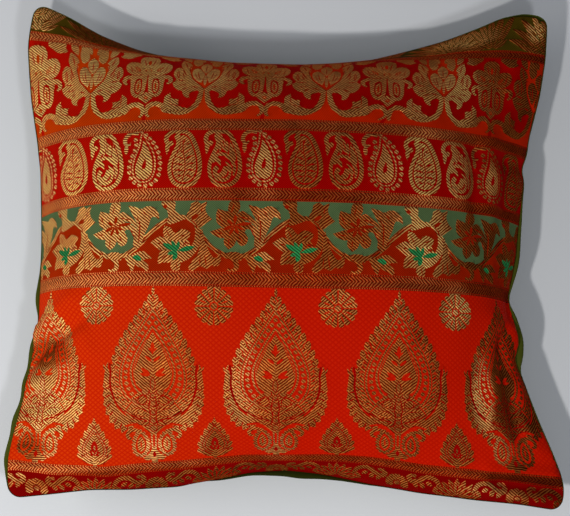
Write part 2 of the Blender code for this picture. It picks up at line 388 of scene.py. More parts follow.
# Palmette band
def palmette():
    """Palmette on a split stem, with scrolls that reach to its neighbours. t from 88 to 176."""
    ground = half("orange", [(0, 113), (3, 104), (6.5, 98), (12, 95), (22, 95), (31, 98), (37, 101.5),
        (41.5, 97.5), (42, 88), (42, 88), (0, 88)])
    ground += half("orange", [(0, 176), (7, 176), (12, 168), (13, 158), (13, 148), (12.2, 140),
        (10.2, 133.5), (6.2, 127), (0, 118.5)])
    side = blob(FALL, [(0.9, 118), (5.6, 124.6), (9.6, 130.4), (11.4, 137), (11.8, 144), (11, 150),
        (13.6, 156.4), (18.4, 160.6), (18.4, 160.6), (19.4, 151.4), (17.8, 144.6), (20.4, 146),
        (23.4, 142.4), (24, 135.4), (21.6, 129.2), (24.4, 126), (24.4, 126), (22.9, 121), (19.4, 117),
        (16.6, 116.2), (15.6, 112.4), (13.4, 109.4), (10.4, 108.6), (10.4, 108.6), (11.2, 112),
        (9.4, 114.6), (5.4, 116.4), (2.4, 113.6)])
    side += blob(RISE, [(3.8, 153.4), (7.6, 149.6), (10, 154), (10.8, 160), (10.2, 168.5), (10.2, 168.5),
        (6.4, 166), (3.8, 160)])
    side += leaf(FALL, (12.6, 158), (16.6, 175), 5.6, bow=-1)
    side += leaf(RISE, (2.2, 160), (6.4, 176), 5.2, bow=-0.8)
    side += blob(RISE, [(9, 95.2), (15, 92.8), (23, 93.8), (29.5, 96), (31, 100), (29.4, 105), (29, 110.5),
        (25.2, 114.4), (25.2, 114.4), (24.4, 110.4), (22, 108), (18.2, 107.6), (18.2, 107.6), (18.6, 103.6),
        (16.2, 100.2), (12, 98.6)])
    side += ribbon(FALL, [(26, 96.6), (31, 101.6), (36, 104), (40.2, 102.4), (42.2, 98), (41.4, 93.8),
        (39.2, 92.2)], (4.8, 5.2, 4.8, 4, 3, 1.4))
    side += ribbon(FALL, [(1.5, 119), (2.4, 112), (3.6, 105.5), (6.4, 100), (10.8, 96.8), (17, 95.6),
        (24, 96.6)], (2.6, 3.6, 4.2, 4.2, 3.8, 3, 1))
    side += leaves("red", (17.7, 145, 13.6, 133.4, 1.1, 0.5), (21.6, 129.2, 13.4, 128.4, 1.1, 0.6),
        (12.7, 147.4, 11.9, 137.8, 0.9), (14.4, 146.4, 17.2, 157.4, 1, 0.3),
        (16.4, 117.2, 11.2, 120.8, 0.8), (20.8, 122.8, 12.6, 123.4, 0.8, 0.3),
        (4.6, 118.9, 10.4, 120.8, 1.2, 0.5), (17.4, 139.4, 15.4, 130.6, 0.8, 0.3),
        (14.4, 99.4, 26.6, 103.4, 0.7, 0.6), (25.2, 112.4, 24.4, 103, 0.7),
        (28.8, 98.6, 36.4, 102.6, 0.6, -0.6))
    side += round_spot("orange", 11.2, 147.8, 1.5, sides=8)
    side += leaf("red", (20.2, 130.8), (20.8, 141.4), 2.2) + leaf(FALL, (20.3, 132.6), (20.7, 139.4), 0.9)
    side += leaf("orange", (32.5, 100.2), (39, 99.6), 1.4, bow=1.2)
    side += blob(FALL, [(13.5, 168.5), (18.5, 170.5), (21.6, 168), (22.2, 163.2), (20.4, 161.5),
        (23.5, 158.8), (28, 158.6), (31.5, 161.5), (35.5, 165), (34.6, 169), (28, 172), (20, 173.5),
        (14, 172)])
    side += blob(PLAIN, [(0.9, 137), (1.3, 131), (3, 124.6), (3, 124.6), (7.8, 129.8), (10, 136),
        (9.8, 142.4), (6.8, 145.8), (3.4, 143)])
    side += leaves("red", (3.4, 128, 5.8, 141.6, 0.7, -0.6), (5, 129.4, 8.2, 138.6, 0.6, -0.6))
    middle = half("orange", [(0, 157.4), (0, 157.4), (3.6, 154), (4.8, 149), (3.6, 142.6), (0, 136.4),
        (0, 136.4)])
    middle += half(PLAIN, [(0, 156.4), (0, 156.4), (3, 153), (4.2, 148.6), (3.1, 143), (0, 137.4),
        (0, 137.4)])
    middle += leaf("red", (0, 140), (0, 152), 0.7)
    middle += leaf(PLAIN, (0, 121.4), (0, 135.8), 2.4) + leaf("orange", (0, 120), (0, 100), 1)
    return ground + both_sides(side) + middle


def carnation():
    """Flower between two palmettes. t from 104 to 164."""
    side = blobs(FALL, [(1.2, 137), (3.2, 144), (6, 150.4), (11, 153.2), (15.6, 151.8), (17.6, 146),
        (15.8, 139.4), (11, 135.6), (5.6, 134.6)], [(0.9, 133), (0.9, 123), (2, 115), (5.4, 110.9),
        (9.6, 111.9), (12, 117.4), (12.4, 125), (12.8, 130), (9.6, 134.6), (5, 135.2)])
    side += ribbon(FALL, [(8.6, 131.8), (13.4, 133), (17, 130.8), (17.2, 126.6), (14.8, 124.4)],
        (4.4, 4.4, 3.8, 3, 1.4))
    side += blob("red", [(4.6, 130.6), (3.7, 123), (4.5, 116.6), (6.8, 114), (9, 116.6), (9.6, 123),
        (8.2, 129.6)])
    side += blob(FALL, [(5.4, 128.8), (4.6, 122.8), (5.2, 117.6), (6.8, 115.6), (8.2, 117.8), (8.6, 123),
        (7.4, 128)])
    side += leaf("orange", (6.3, 126.4), (6.8, 117.4), 1.5)
    side += blob("red", [(0, 121), (0, 121), (1.4, 115.6), (3.4, 111.6), (3.4, 109.4), (0, 109.4),
        (0, 109.4)])
    side += leaf("orange", (6, 140.2), (11, 146.6), 2.6) + leaf(FALL, (7, 141.6), (10.2, 145.6), 1)
    side += leaves("red", (1.6, 136.2, 10.4, 134.6, 0.9), (2.8, 143.6, 7.4, 152.2, 0.9),
        (12.2, 138.2, 14.4, 149, 0.7), (10.4, 131.2, 15.8, 130.2, 0.6), (4.6, 138.6, 14.8, 142, 0.6))
    middle = half(FALL, [(0, 164.4), (4.8, 163), (7.4, 158.2), (6.8, 150.8), (4, 144), (0, 142)])
    middle += half(RISE, [(0, 145.6), (3, 142.5), (4.2, 138), (3.2, 133.6), (0, 130.5)])
    middle += half(FALL, [(0, 116), (0, 116), (5.4, 110.2), (5.4, 110.2), (0, 104.4), (0, 104.4)])
    middle += round_spot("orange", 0, 152.6, 1.3, tall=3) + leaf("red", (0, 130), (0, 136.4), 1.1)
    pair = leaf("red", (2.2, 146.4), (4.6, 159.4), 0.8) + leaf("orange", (2.6, 139), (0.9, 143.5), 1)
    middle += both_sides(pair)
    middle += round_spot("orange", 0, 110.2, 1.6) + round_spot(PLAIN, 0, 110.2, 0.7, sides=6)
    return both_sides(side) + middle


# Paisley band
PAISLEY_BODY = [(-4, 80), (1, 79.4), (5.4, 75.8), (9.2, 68.6), (12, 60), (13.4, 51), (12.5, 43),
    (9.2, 37.6), (4, 34.7), (-1, 34.4), (-6, 36.4), (-9.7, 41), (-11.5, 47.6), (-11.1, 54.4), (-9, 61),
    (-6.7, 66.4), (-6.2, 70.6), (-7.6, 74.6)]
PAISLEY_FIELD = [(-3.4, 76.6), (1.8, 75.2), (6, 68), (9, 59.4), (10.3, 51), (9.6, 44.6), (7, 40), (3, 37.7),
    (-1, 37.5), (-4.8, 39.1), (-7.5, 42.8), (-8.8, 48), (-8.5, 53.6), (-6.4, 60), (-3.6, 66), (-3.2, 71.2)]


def paisley_body(lean):
    """Solid rim and hooked head that two of the three paisleys have, with a red field inside."""
    shapes = blob(lean, PAISLEY_BODY)
    shapes += ribbon(lean, [(-3.4, 78.4), (-8, 78.7), (-12, 76.6), (-13.7, 72.8), (-12.7, 69.4),
        (-10, 68.2)], (3.4, 3.4, 3.4, 3.2, 3.4, 2.8))
    shapes += round_spot(lean, -10.2, 68.9, 2)
    shapes += leaf(lean, (-12.2, 71), (-12.7, 60.2), 3.4, belly=0.4)
    shapes += blob("red", PAISLEY_FIELD)
    return shapes


def spiral_paisley():
    """Paisley with a curled leaf in its belly."""
    shapes = paisley_body(FALL)
    shapes += leaves(FALL, (1.2, 62.6, -3.2, 76.2, 4, 0, 0.35), (7.4, 53, 4, 70, 4.6, 0, 0.35))
    shapes += ribbon(FALL, [(-7.4, 56.6), (-4, 60), (1, 59.6), (5.4, 55.4), (8, 49.5), (7.4, 43.5)],
        (2.4, 2.6, 2.8, 2.6, 2.4, 1.2))
    shapes += ribbon(FALL, [(-9, 55), (-6.4, 56.4), (-3.8, 55), (-2.2, 51.4)], (4.4, 4.2, 2.8, 0.5))
    shapes += blob(FALL, [(0.2, 50.6), (3.4, 50.4), (5.6, 47), (5.2, 42), (1.4, 38.9), (-3.6, 39.5),
        (-7, 43.4), (-7.6, 48), (-5.8, 51.2), (-3.6, 50.2), (-3.4, 48), (-3.4, 48), (-4.6, 47.4),
        (-3.4, 45.2), (-1.2, 47)])
    shapes += ribbon("red", [(3.3, 47.2), (3.2, 44.4), (1, 42.2), (-1.2, 42.3)], (0.6, 1.5, 1.4, 0.5))
    shapes += leaves(FALL, (1, 54.6, 6.8, 46, 2, 0.6), (-3, 61.4, -3.6, 69.6, 2.2),
        (2.2, 60.6, 1.6, 71.6, 2.6))
    shapes += leaf("red", (0.6, 64.4), (-2, 73), 0.7)
    return shapes


def sprig_paisley():
    """Paisley filled with a leafy sprig."""
    shapes = paisley_body(RISE)
    shapes += blob(RISE, [(s * 0.88, 56.6 + (t - 56.6) * 0.93) for s, t in PAISLEY_FIELD])
    shapes += ribbon("red", [(-0.6, 40), (1, 47), (0.8, 55), (-0.8, 63), (-1.4, 72)], (0.7,))
    twigs = ((1.2, 44.4, 7, 41.6, 1.2), (-0.2, 43.4, -5.8, 43, 1.2), (1.4, 48, 8.6, 47.4, 1.4),
        (0.2, 47.4, -7.4, 47.8, 1.4), (1.6, 51.8, 8.6, 53.4, 1.4), (0.2, 51.4, -7.2, 52.8, 1.4),
        (1.2, 56.2, 7.6, 59.4, 1.3), (0, 55.8, -5.8, 58.4, 1.2), (0.4, 60.4, 5.8, 64.8, 1.2),
        (-0.9, 60.4, -4.2, 64.2, 1), (-0.4, 64.6, 3.8, 69.6, 1.1), (-1.2, 66.6, 1.2, 73.4, 0.9))
    for s0, t0, s1, t1, width in twigs:
        shapes += leaf("red", (s0, t0), (s1, t1), width, bow=0.5 if s1 > s0 else -0.5)
    return shapes + beads(FINE, ((4.6, 45), (-4, 45.2), (5.6, 50.2), (-4.2, 50), (5, 56), (-3.6, 55.4),
        (3.4, 62), (1.6, 67.4)), 0.95, sides=6)


def dotted_paisley():
    """Paisley with a ring of round beads about a thin line and a hatched drop."""
    ring = [(-3.6, 79.2), (3.2, 73.4), (8.6, 65.4), (11.4, 56.5), (11.7, 49), (10.4, 42.4), (6.4, 38),
        (1, 36.4), (-5, 38.2), (-9.4, 42.8), (-11.2, 49.5), (-10.4, 57), (-8, 63), (-6.9, 68.4), (-7.6, 73)]
    shapes = beads(FINE, evenly(ring, 23, closed=False)[0], 1.7)
    shapes += ribbon(PLAIN, [(-5.6, 78.2), (-10.6, 79), (-14.8, 75.8), (-15.8, 71.6), (-13.6, 68.8),
        (-11.2, 70.4)], (3.4, 3.4, 3.2, 3, 2.8, 1.4))
    shapes += leaf(PLAIN, (-14.6, 70.4), (-14.2, 61.2), 3.2, belly=0.55)
    shapes += ribbon(FINE, [(-3, 77.6), (-4.4, 68), (-7.8, 56.6), (-8.4, 48.6), (-6.5, 42.8), (-2.5, 39.8),
        (2.3, 39.6), (6, 42.4), (7.9, 48.6), (7.7, 56.5), (5.6, 63.4), (2, 70)], (1.1,), closed=True)
    shapes += blob(FALL, [(-2, 73), (-2, 73), (1.5, 67), (4.7, 60), (6.2, 52), (5.4, 45), (2.5, 41.6),
        (-1.5, 41.4), (-5, 43.6), (-6.6, 48.8), (-5.7, 54.8), (-3.4, 62), (-2.2, 68)])
    shapes += blob("red", [(0.4, 57.8), (0.4, 57.8), (1.5, 53.5), (0.9, 50), (-1, 49.2), (-1.8, 51.6),
        (-0.8, 54.6)])
    return shapes


# Vine band
def vine():
    """Waving stem with two kinds of flower, over s from -95 to 54. Green above the stem, dark red below."""
    stem = [(-33, -16), (-25.6, -13.6), (-18, -8), (-10, 0.6), (-3, 7), (4, 11), (12, 12.8), (18, 12),
        (22.6, 8), (26.2, 2.2), (30.4, -4), (35.6, -9.6), (42, -13.8), (48.6, -16.2)]
    line = [tuple(point) for point in smooth(stem, closed=False, step=3)]
    shapes = [("grey_green", np.array(line + [(53.9, -16.5), (53.9, 25.5), (-33, 25.5)]))]
    shapes += ribbon(RISE, [(-36, -16.8)] + stem[:7], (3.4, 3.6, 3.2))
    shapes += ribbon(FALL, stem[6:] + [(52.6, -20), (52.8, -24), (49.4, -26.4), (46.6, -24.8)],
        (3.2, 3.2, 3.2, 3.6, 4, 2.4))
    shapes += ribbon("brick_red", stem[1:6], (0.7,)) + ribbon("brick_red", stem[7:13], (0.7,))
    shapes += pendant_flower() + bell_flower() + upper_flower() + tall_leaf() + small_flowers()
    return shapes


def pendant_flower():
    """Open flower that hangs below the stem, with a bright green sprig at its heart."""
    shapes = ribbon(FALL, [(-62.6, 5), (-61.6, -3), (-64, -10), (-69, -15.4), (-76.5, -19.6)],
        (2.8, 4.6, 5.2, 5.6, 4.4))
    shapes += blobs(FALL, [(-84, -7), (-80, -2), (-73, -1.6), (-68, -6), (-70, -15), (-76, -20),
        (-83, -16)], [(-80, -7), (-85, -2.6), (-89.5, -1.6), (-95.6, -5.6), (-95.6, -5.6), (-91, -9.6),
        (-86.5, -12.6), (-81, -12)])
    shapes += blobs(RISE, [(-78, -5), (-84, -3.4), (-86.8, 1), (-86.2, 6.4), (-86.2, 6.4), (-82, 5.2),
        (-79.2, 1.6), (-76.4, 0), (-75, -5)], [(-75.6, -4), (-77.6, 0.4), (-74.4, 3.6), (-70, 3.2),
        (-66.6, 0.8), (-66.6, 0.8), (-68.6, -3), (-71.6, -5)], [(-82, -12), (-87.5, -12), (-89.6, -16),
        (-90, -21.4), (-90, -21.4), (-85, -20.6), (-80.5, -20.4), (-77.5, -17)], [(-78.6, -18),
        (-80.8, -23), (-78, -27.4), (-74.6, -27.8), (-74.6, -27.8), (-73.6, -22), (-74.6, -18)])
    shapes += round_spot(FALL, -70.2, -8.2, 3.4, sides=12)
    shapes += ribbon("brick_red", [(-68.2, -7.4), (-70.4, -6.2), (-72, -8.4)], (0.7, 1.2, 0.6))
    for s, t, width in ((-87, -6.4, 3.8), (-80.6, -4.4, 2.8), (-75.2, -4.8, 2.8), (-63.6, -9, 3.6),
            (-78.6, -19.2, 3.8), (-83.4, -14.6, 3.2)):
        shapes += leaf("bright_green", (-76.4, -12.4), (s, t), width, belly=0.55)
    return shapes + leaves("brick_red", (-85.4, -7.4, -92.4, -5.6, 0.8), (-81.6, -2.4, -85.4, 4.4, 0.8),
        (-74.6, -2, -69.4, 0.8, 0.8), (-83, -14.4, -88.4, -19.4, 0.8), (-76.8, -20, -75.6, -26.4, 0.8))


def bell_flower():
    """Closed bell beside the pendant flower."""
    shapes = blob(RISE, [(-58.6, 4.4), (-58.6, 4.4), (-57, -4), (-54, -11), (-50.4, -16.6), (-47.6, -16.4),
        (-46.4, -12.8), (-46.4, -12.8), (-44.8, -17), (-46, -21.6), (-49, -23.2), (-51.6, -22.2),
        (-55, -24.8), (-58.6, -23.2), (-62, -24.6), (-65.4, -27.8), (-65.4, -27.8), (-67.8, -24.6),
        (-65.6, -20), (-61.6, -14.6), (-60.2, -8), (-59.8, -2)])
    return shapes + leaves("brick_red", (-55, -23.8, -56.6, -14, 0.9), (-60.2, -23, -59.4, -15, 0.8))


def upper_flower():
    """Large flower above the stem, with a red sprig at its heart."""
    shapes = blobs(FALL, [(-43, 9), (-38, 14), (-31, 13), (-27.4, 7), (-30, 0), (-37, -2), (-43, 2.6)],
        [(-40.4, 9), (-44, 5.2), (-48.4, 8.6), (-49.2, 14.6), (-48, 19), (-48, 19), (-44, 17.6),
        (-40, 16.4), (-38.4, 12.4)], [(-39.4, 13.4), (-40.8, 18.8), (-39, 24.6), (-33.4, 24.8),
        (-32.2, 19.4), (-35, 14.4)], [(-34.6, 14.6), (-30.6, 17.4), (-25.8, 14.8), (-21, 10.4),
        (-19.6, 5.6), (-24, 9), (-29, 10.6), (-33, 12)], [(-40.4, 1), (-44, 5), (-48.6, 3.6), (-53.4, 2),
        (-53.4, 2), (-49.4, -1.2), (-45, -2.6), (-41, -2)], [(-39.6, 0.6), (-43, -3), (-42.8, -7),
        (-39.8, -10.8), (-39.8, -10.8), (-36, -8), (-34.4, -3.4), (-36, 0.4)], [(-35.4, 0.6), (-34.4, -4),
        (-31, -8), (-27.2, -6.4), (-26.2, -2), (-29, 2.2), (-33, 3.2)])
    shapes += ribbon(FALL, [(-19.2, -8), (-19.4, -1), (-22, 4.4), (-26.4, 6.2), (-30, 4)],
        (5.4, 4.8, 4.4, 4.2, 2.6))
    for s, t, width in ((-44, 3.2, 2.8), (-39.4, -0.6, 2.4), (-33, 0.2, 2.4), (-23.4, 8.6, 2.6),
            (-35.2, 14.8, 2.8), (-41.8, 10.4, 2.4), (-29.4, 3.6, 1.8)):
        shapes += leaf("brick_red", (-36, 7), (s, t), width, belly=0.6)
    return shapes + leaves("brick_red", (-44.4, 8.4, -48, 15.6, 0.8), (-38.6, 15.4, -36.4, 23, 0.8),
        (-33.4, 13.4, -24, 11, 0.8), (-43, 0.6, -50.6, 1.6, 0.8), (-39.6, -2.2, -39.8, -8.6, 0.8),
        (-32.6, -0.8, -29.6, -5.6, 0.8), (-24.6, 4.8, -20.6, -3, 0.8))


def tall_leaf():
    """Broad leaf that stands on the stem to the right of the upper flower."""
    shapes = blob(FALL, [(-20, -10), (-21.2, -3), (-19.4, 3), (-20, 9), (-23, 15), (-26.6, 22), (-26.6, 22),
        (-21, 20.8), (-16.6, 19.2), (-13, 21), (-8, 20.4), (-4, 16.2), (-3.2, 11), (-3.2, 11), (-6.6, 13.2),
        (-9, 12.4), (-11, 6), (-14, -1), (-16.6, -9)])
    shapes += ribbon("brick_red", [(-17.8, -6), (-17.4, 2), (-17.4, 8), (-19.6, 13.6)], (0.5, 1, 0.9, 0.4))
    return shapes + leaf("brick_red", (-16, 17.6), (-12.6, 14), 0.8)


def small_flowers():
    """Small flower above the stem, hooked leaf beside it, and the small flower with a green eye below."""
    shapes = blob(RISE, [(-61, 4.6), (-56.5, 7.8), (-51.8, 11), (-51.8, 11), (-55.4, 14.6), (-57, 19),
        (-56, 24), (-60.4, 22.4), (-63, 24.6), (-67.4, 22.6), (-67.4, 22.6), (-68.4, 18), (-70.4, 14),
        (-68, 11), (-64, 9)])
    shapes += leaves("brick_red", (-66.8, 10.8, -61.2, 14.8, 3), (-60, 16, -59, 20.5, 0.9))
    shapes += blob(FALL, [(-88.6, 24.8), (-79.4, 24.8), (-78.6, 17.6), (-74, 14), (-72, 11.4), (-78, 8.6),
        (-84, 7.4), (-83.6, 13), (-84.8, 18), (-87.4, 19.8)])
    shapes += round_spot("brick_red", -86, 20.8, 1.5)
    shapes += blobs(FALL, [(-22, -15), (-16, -12), (-12, -13.2), (-7.4, -17.6), (-7.4, -17.6), (-12, -18),
        (-16, -19)], [(-19, -17), (-13, -19.6), (-10, -22.4), (-9.8, -27.6), (-9.8, -27.6), (-14, -25),
        (-19, -22)], [(-27.4, -15.4), (-21, -15), (-19, -19.6), (-20.4, -23), (-21.4, -27.4),
        (-21.4, -27.4), (-24.4, -23.6), (-26.6, -19)])
    shapes += blob("bright_green", [(-22, -16.6), (-19, -14.8), (-16, -16.2), (-15.4, -19), (-18.6, -18.8)])
    return shapes + blob(RISE, [(-40.4, -13), (-33, -12.6), (-29.8, -15.4), (-30.8, -18.6), (-30.8, -18.6),
        (-35, -17.8), (-38.4, -17.4)])


# Band of large and small butas
BUTA_TIPS = [(0, -37.5), (3, -43.4), (6.2, -48.4), (9.6, -53.4), (13.2, -58.4), (16.8, -63.6),
    (20.4, -69.2), (23.8, -75), (26.8, -81.2), (29.2, -87.8), (31, -94.8)]
BUTA_BELLY = [(30.2, -101), (30.6, -108.6), (29, -117.4), (26, -125), (20.6, -131.4), (14.6, -135.4)]
BUTA_MIDWAY = [(1.6, -47), (7.2, -56.8), (12.8, -66.2), (18.2, -76.4), (23.2, -86.8), (26.6, -97),
    (27.2, -107.6), (25.4, -117), (20.6, -125.2), (14.6, -130.6)]
BUTA_LINE = [(0, -54.6), (6, -64), (12.6, -75.6), (18.4, -86.4), (22, -96.4), (23, -105), (22, -113),
    (18.4, -120), (12.6, -126.2), (6.6, -131)]
BUTA_BEADS = [(0, -60.4), (4.8, -67.4), (9.6, -75.4), (14.2, -83.6), (17.6, -91.8), (19.6, -100.5),
    (19.4, -108), (16.6, -115.6), (12.2, -120.8)]
BUTA_INNER = [(0, -66.4), (4.4, -73), (8.8, -80.6), (12.6, -88.4), (15.4, -96), (15.9, -103), (14.2, -110),
    (10.6, -116), (7.4, -119.4)]
COLLAR_RAYS = [(36.8, -112), (37, -119), (36.6, -126), (34.8, -133), (32, -139.4), (28.2, -144.6),
    (23.2, -147.8), (17.4, -147)]
COLLAR_HEART = np.array([14, -108])


def large_buta():
    """Large flame-shaped buta with a feathered edge, a chain of beads and a hatched heart."""
    field = blob("fire", [(0, -54), (0, -54)] + BUTA_LINE[1:] + [(0, -134), (0, -134)])
    side = buta_collar() + buta_flame() + field
    side += ribbon(FINE, BUTA_LINE, (1.2,))
    side += ribbon(FINE, BUTA_INNER, (1.5,))
    side += ribbon(FINE, [(s * 0.86, t * 0.86 - 13.2) for s, t in BUTA_INNER[1:-1]], (0.7,))
    side += beads(FINE, evenly(BUTA_BEADS, 16, closed=False)[0][1:], 1.65) + buta_base()
    drop = split_lean(half(RISE, [(0, -70.6), (0, -70.6), (3.6, -76.6), (7.2, -83.6), (10.4, -91),
        (12.8, -98), (13.3, -105), (10.8, -111.8), (5, -114.6), (0, -112)]))
    return both_sides(side) + drop + buta_heart() + buta_middle() + buta_foot()


def buta_heart():
    """Small red marks in the hatched heart: a star, two pairs of leaves and the thin leaf between them."""
    upper = both_sides(leaves("fire", (0, -85.6, 3.4, -82, 1.5), (0.6, -92.6, 5.8, -88.2, 2.3)))
    lower = both_sides(leaves("fire", (1.8, -103, 8.6, -97.2, 3.3), (1.8, -103, 9.6, -101.8, 2.8)))
    vein = leaf(FINE, (0, -89), (0, -104), 1.2)
    return leaf("fire", (0, -77.6), (0, -87.6), 3) + upper + lower + vein


def buta_middle():
    """Leaf and beads along the middle line below the heart."""
    middle = round_spot(FINE, 0, -60.4, 1.6, sides=8) + leaf(FINE, (0, -57.4), (0, -53.2), 2)
    middle += leaf("red", (0, -115.4), (0, -103.6), 4.2, belly=0.5)
    middle += leaf(FINE, (0, -114.6), (0, -104.4), 3, belly=0.5)
    for t, radius in ((-118.4, 1.6), (-124.6, 2), (-131.4, 1.8), (-138.2, 2), (-144.4, 2.4)):
        middle += ringed("red", FINE, 0, t, radius + 0.6, radius, 9)
    return middle


def split_lean(shapes):
    """A symmetrical shape as two halves whose gold leans opposite ways."""
    result = []
    for colour, outline in shapes:
        right = np.array([point for point in outline if point[0] > -0.05])
        result += [(colour, right)] + mirrored([(colour, right)])
    return result


def toothed(tips, hollow, notch):
    """Edge down over sharp leaf tips. hollow lies past each tip and the sharp notch before the next one."""
    edge = [tips[0], tips[0]]
    for (s, t), (next_s, next_t) in zip(tips, tips[1:]):
        inner = (next_s + notch[0], next_t + notch[1])
        edge += [(s + hollow[0], t + hollow[1]), inner, inner, (next_s, next_t), (next_s, next_t)]
    return edge


def buta_flame():
    """Outer flame of the large buta, right side: a toothed edge, and thin red slits between its leaves."""
    edge = toothed(BUTA_TIPS, (1.1, -2.6), (-2.3, -0.5))
    shapes = ribbon("red", [(32, -94)] + [(s + 0.6, t) for s, t in BUTA_BELLY[:3]] + BUTA_BELLY[3:],
        (1.6, 2, 2.2))
    shapes += blob(RISE, edge + BUTA_BELLY + [(0, -138), (0, -138)])
    for s, t in BUTA_TIPS[1:]:
        shapes += leaf("fire", (s - 1.6, t - 0.2), (s - 4.6, t - 5), 0.9, bow=-0.6)
        shapes += leaf(FALL, (s - 4.4, t - 6.6), (s - 1.3, t - 1.4), 2.2, bow=-0.4)
    spots, away = evenly(BUTA_MIDWAY, 26, closed=False)
    for index, ((s, t), (a, b)) in enumerate(zip(spots, away)):
        shapes += leaf("fire", (s + a * 0.8, t + b * 0.8 + 1.4), (s - a * 2.6, t - b * 2.6 - 0.8), 0.9,
            bow=0.4)
        if index > 12:
            shapes += leaf("fire", (s + a * 3.2, t + b * 3.2 + 1.4), (s + a * 0.8, t + b * 0.8 - 1.8), 0.9,
                bow=-0.4)
            shapes += leaf(FALL, (s + a * 0.6, t + b * 0.6 - 0.6), (s + a * 3.2, t + b * 3.2 + 2.4), 1.5)
    beside = [(s + 1, t + 0.9) for s, t in BUTA_LINE[:4]]
    beside += [(s + 1.3, t) for s, t in BUTA_LINE[4:7]]
    beside += [(s + 0.9, t - 1) for s, t in BUTA_LINE[7:]]
    shapes += ribbon("fire", beside, (0.8,))
    return shapes


def buta_collar():
    """Feathered collar that holds the lower half of the large buta, right side."""
    edge = [(33.8, -95.6), (33.8, -95.6), (35.4, -101), (36, -106.6)]
    for index, ((s, t), (next_s, next_t)) in enumerate(zip(COLLAR_RAYS, COLLAR_RAYS[1:] + [(13.4, -143)])):
        notch = (s + next_s) / 2 - 1 - 0.16 * index, (t + next_t) / 2 + 1.2 + 0.26 * index
        edge += [(s, t), (s, t), notch, notch]
    edge += [(12.6, -138.4), (16.2, -136.6), (22.4, -132.4), (27.4, -125.6), (30.2, -117.6), (31.6, -108.6),
        (31.9, -101)]
    shapes = blob(RISE, edge)
    for (s, t), (next_s, next_t) in zip(COLLAR_RAYS, COLLAR_RAYS[1:]):
        notch = np.array([(s + next_s) / 2 - 1.4, (t + next_t) / 2 + 1.6])
        toward = COLLAR_HEART - notch
        shapes += leaf("red", notch, notch + toward / np.hypot(*toward) * 5.6, 1.2)
    for s, t in COLLAR_RAYS:
        toward = COLLAR_HEART - (s, t)
        toward = toward / np.hypot(*toward)
        shapes += leaf(FALL, (s, t) + toward * 6.4, (s, t) + toward * 0.8, 2.4)
    s, t = 34.4, -96.4
    forked = ((s + 0.4, t - 3, s - 1.4, t + 3, 1.5), (s + 0.6, t - 3.4, s + 2.2, t + 1.6, 1.4))
    return shapes + leaves(RISE, *forked)


def rimmed(colour, root, tip, width, rim="red"):
    """A leaf with a thin line round it."""
    return leaf(rim, root, tip, width + 1.4) + leaf(colour, root, tip, width)


def buta_base():
    """Close leaves and round buds below the hatched heart, right side."""
    shapes = blob(RISE, [(0, -111), (6, -113.4), (12, -117.6), (17, -122.6), (20.6, -130), (17.6, -137),
        (12, -140.4), (7, -143.6), (2.6, -148), (0, -149)])
    shapes += ribbon("fire", [(2, -115.6), (8.6, -118.6), (14.6, -122.8), (20, -129.8)], (0.8,))
    shapes += ribbon("red", [(20.8, -130.4), (15.8, -134), (10.6, -136.4), (4.6, -138)], (1,))
    shapes += ringed("red", FINE, 5.4, -115.4, 3.2, 2.5, 11)
    shapes += ringed("red", FALL, 7.6, -122.2, 3.9, 3.2, 11)
    shapes += rimmed(FINE, (11, -126.4), (15.8, -121.2), 2.4) + rimmed(FINE, (1.6, -127.8), (6.4, -126), 2)
    shapes += rimmed(FALL, (3.6, -133.6), (17, -129.4), 5.6) + leaf(RISE, (6.6, -133), (14, -130.8), 1.2)
    shapes += rimmed(FALL, (2.6, -139.6), (9.6, -141.6), 3) + rimmed(RISE, (9, -138.6), (18.4, -138.4), 3)
    shapes += ribbon("red", [(1.6, -119), (3, -126.4), (2.2, -134), (3.2, -142.4)], (0.7,))
    shapes += ribbon("fire", [(20.6, -142.6), (15.4, -141.4), (9.6, -142.6), (5.6, -147), (3.6, -153)],
        (1.4, 1.8, 1.9, 1.9, 1.6))
    return shapes + ribbon(FINE, [(1.8, -146.6), (1.5, -151), (1.3, -157), (1.1, -163)], (1.1,))


def buta_foot():
    """Pair of small paisleys that curl outward, and the bell foot between them."""
    ring = [(9.8, -146.6), (5.2, -151.6), (3.9, -158), (5.6, -164.6), (9.8, -167.6), (13.8, -164.6),
        (14.8, -157.6), (13.2, -151)]
    side = blob(RISE, ring)
    side += blob("fire", [(9.6, -148.8), (6.4, -153), (5.4, -158), (6.8, -163.4), (9.8, -165.8),
        (12.6, -163.2), (13.3, -157.6), (11.8, -152.4)])
    side += beads(FINE, evenly(ring, 16)[0], 1.5, sides=7)
    side += blob(FALL, [(9.4, -163.9), (7, -161), (6.8, -155.8), (9.5, -151.2), (11.5, -154.8),
        (11.9, -159.2), (11.1, -162.4)])
    side += leaf("fire", (9.2, -161), (9.4, -154), 1.2)
    side += ribbon(FALL, [(9.2, -147.9), (12.6, -145.7), (16.6, -146.2), (18.9, -149), (18, -152.4),
        (15.8, -152.2)], (2.2, 2.6, 2.8, 2.8, 2.6, 1.6))
    foot = half(PLAIN, [(0, -159.6), (0, -159.6), (2.4, -163.6), (4.4, -166.6), (8.4, -169.2),
        (8.4, -169.2), (5.6, -172.2), (2.4, -171.4), (2, -175.5), (0, -175.5)])
    foot += half("red", [(0, -163.8), (1.5, -167.2), (0, -169.4)])
    return both_sides(side) + foot


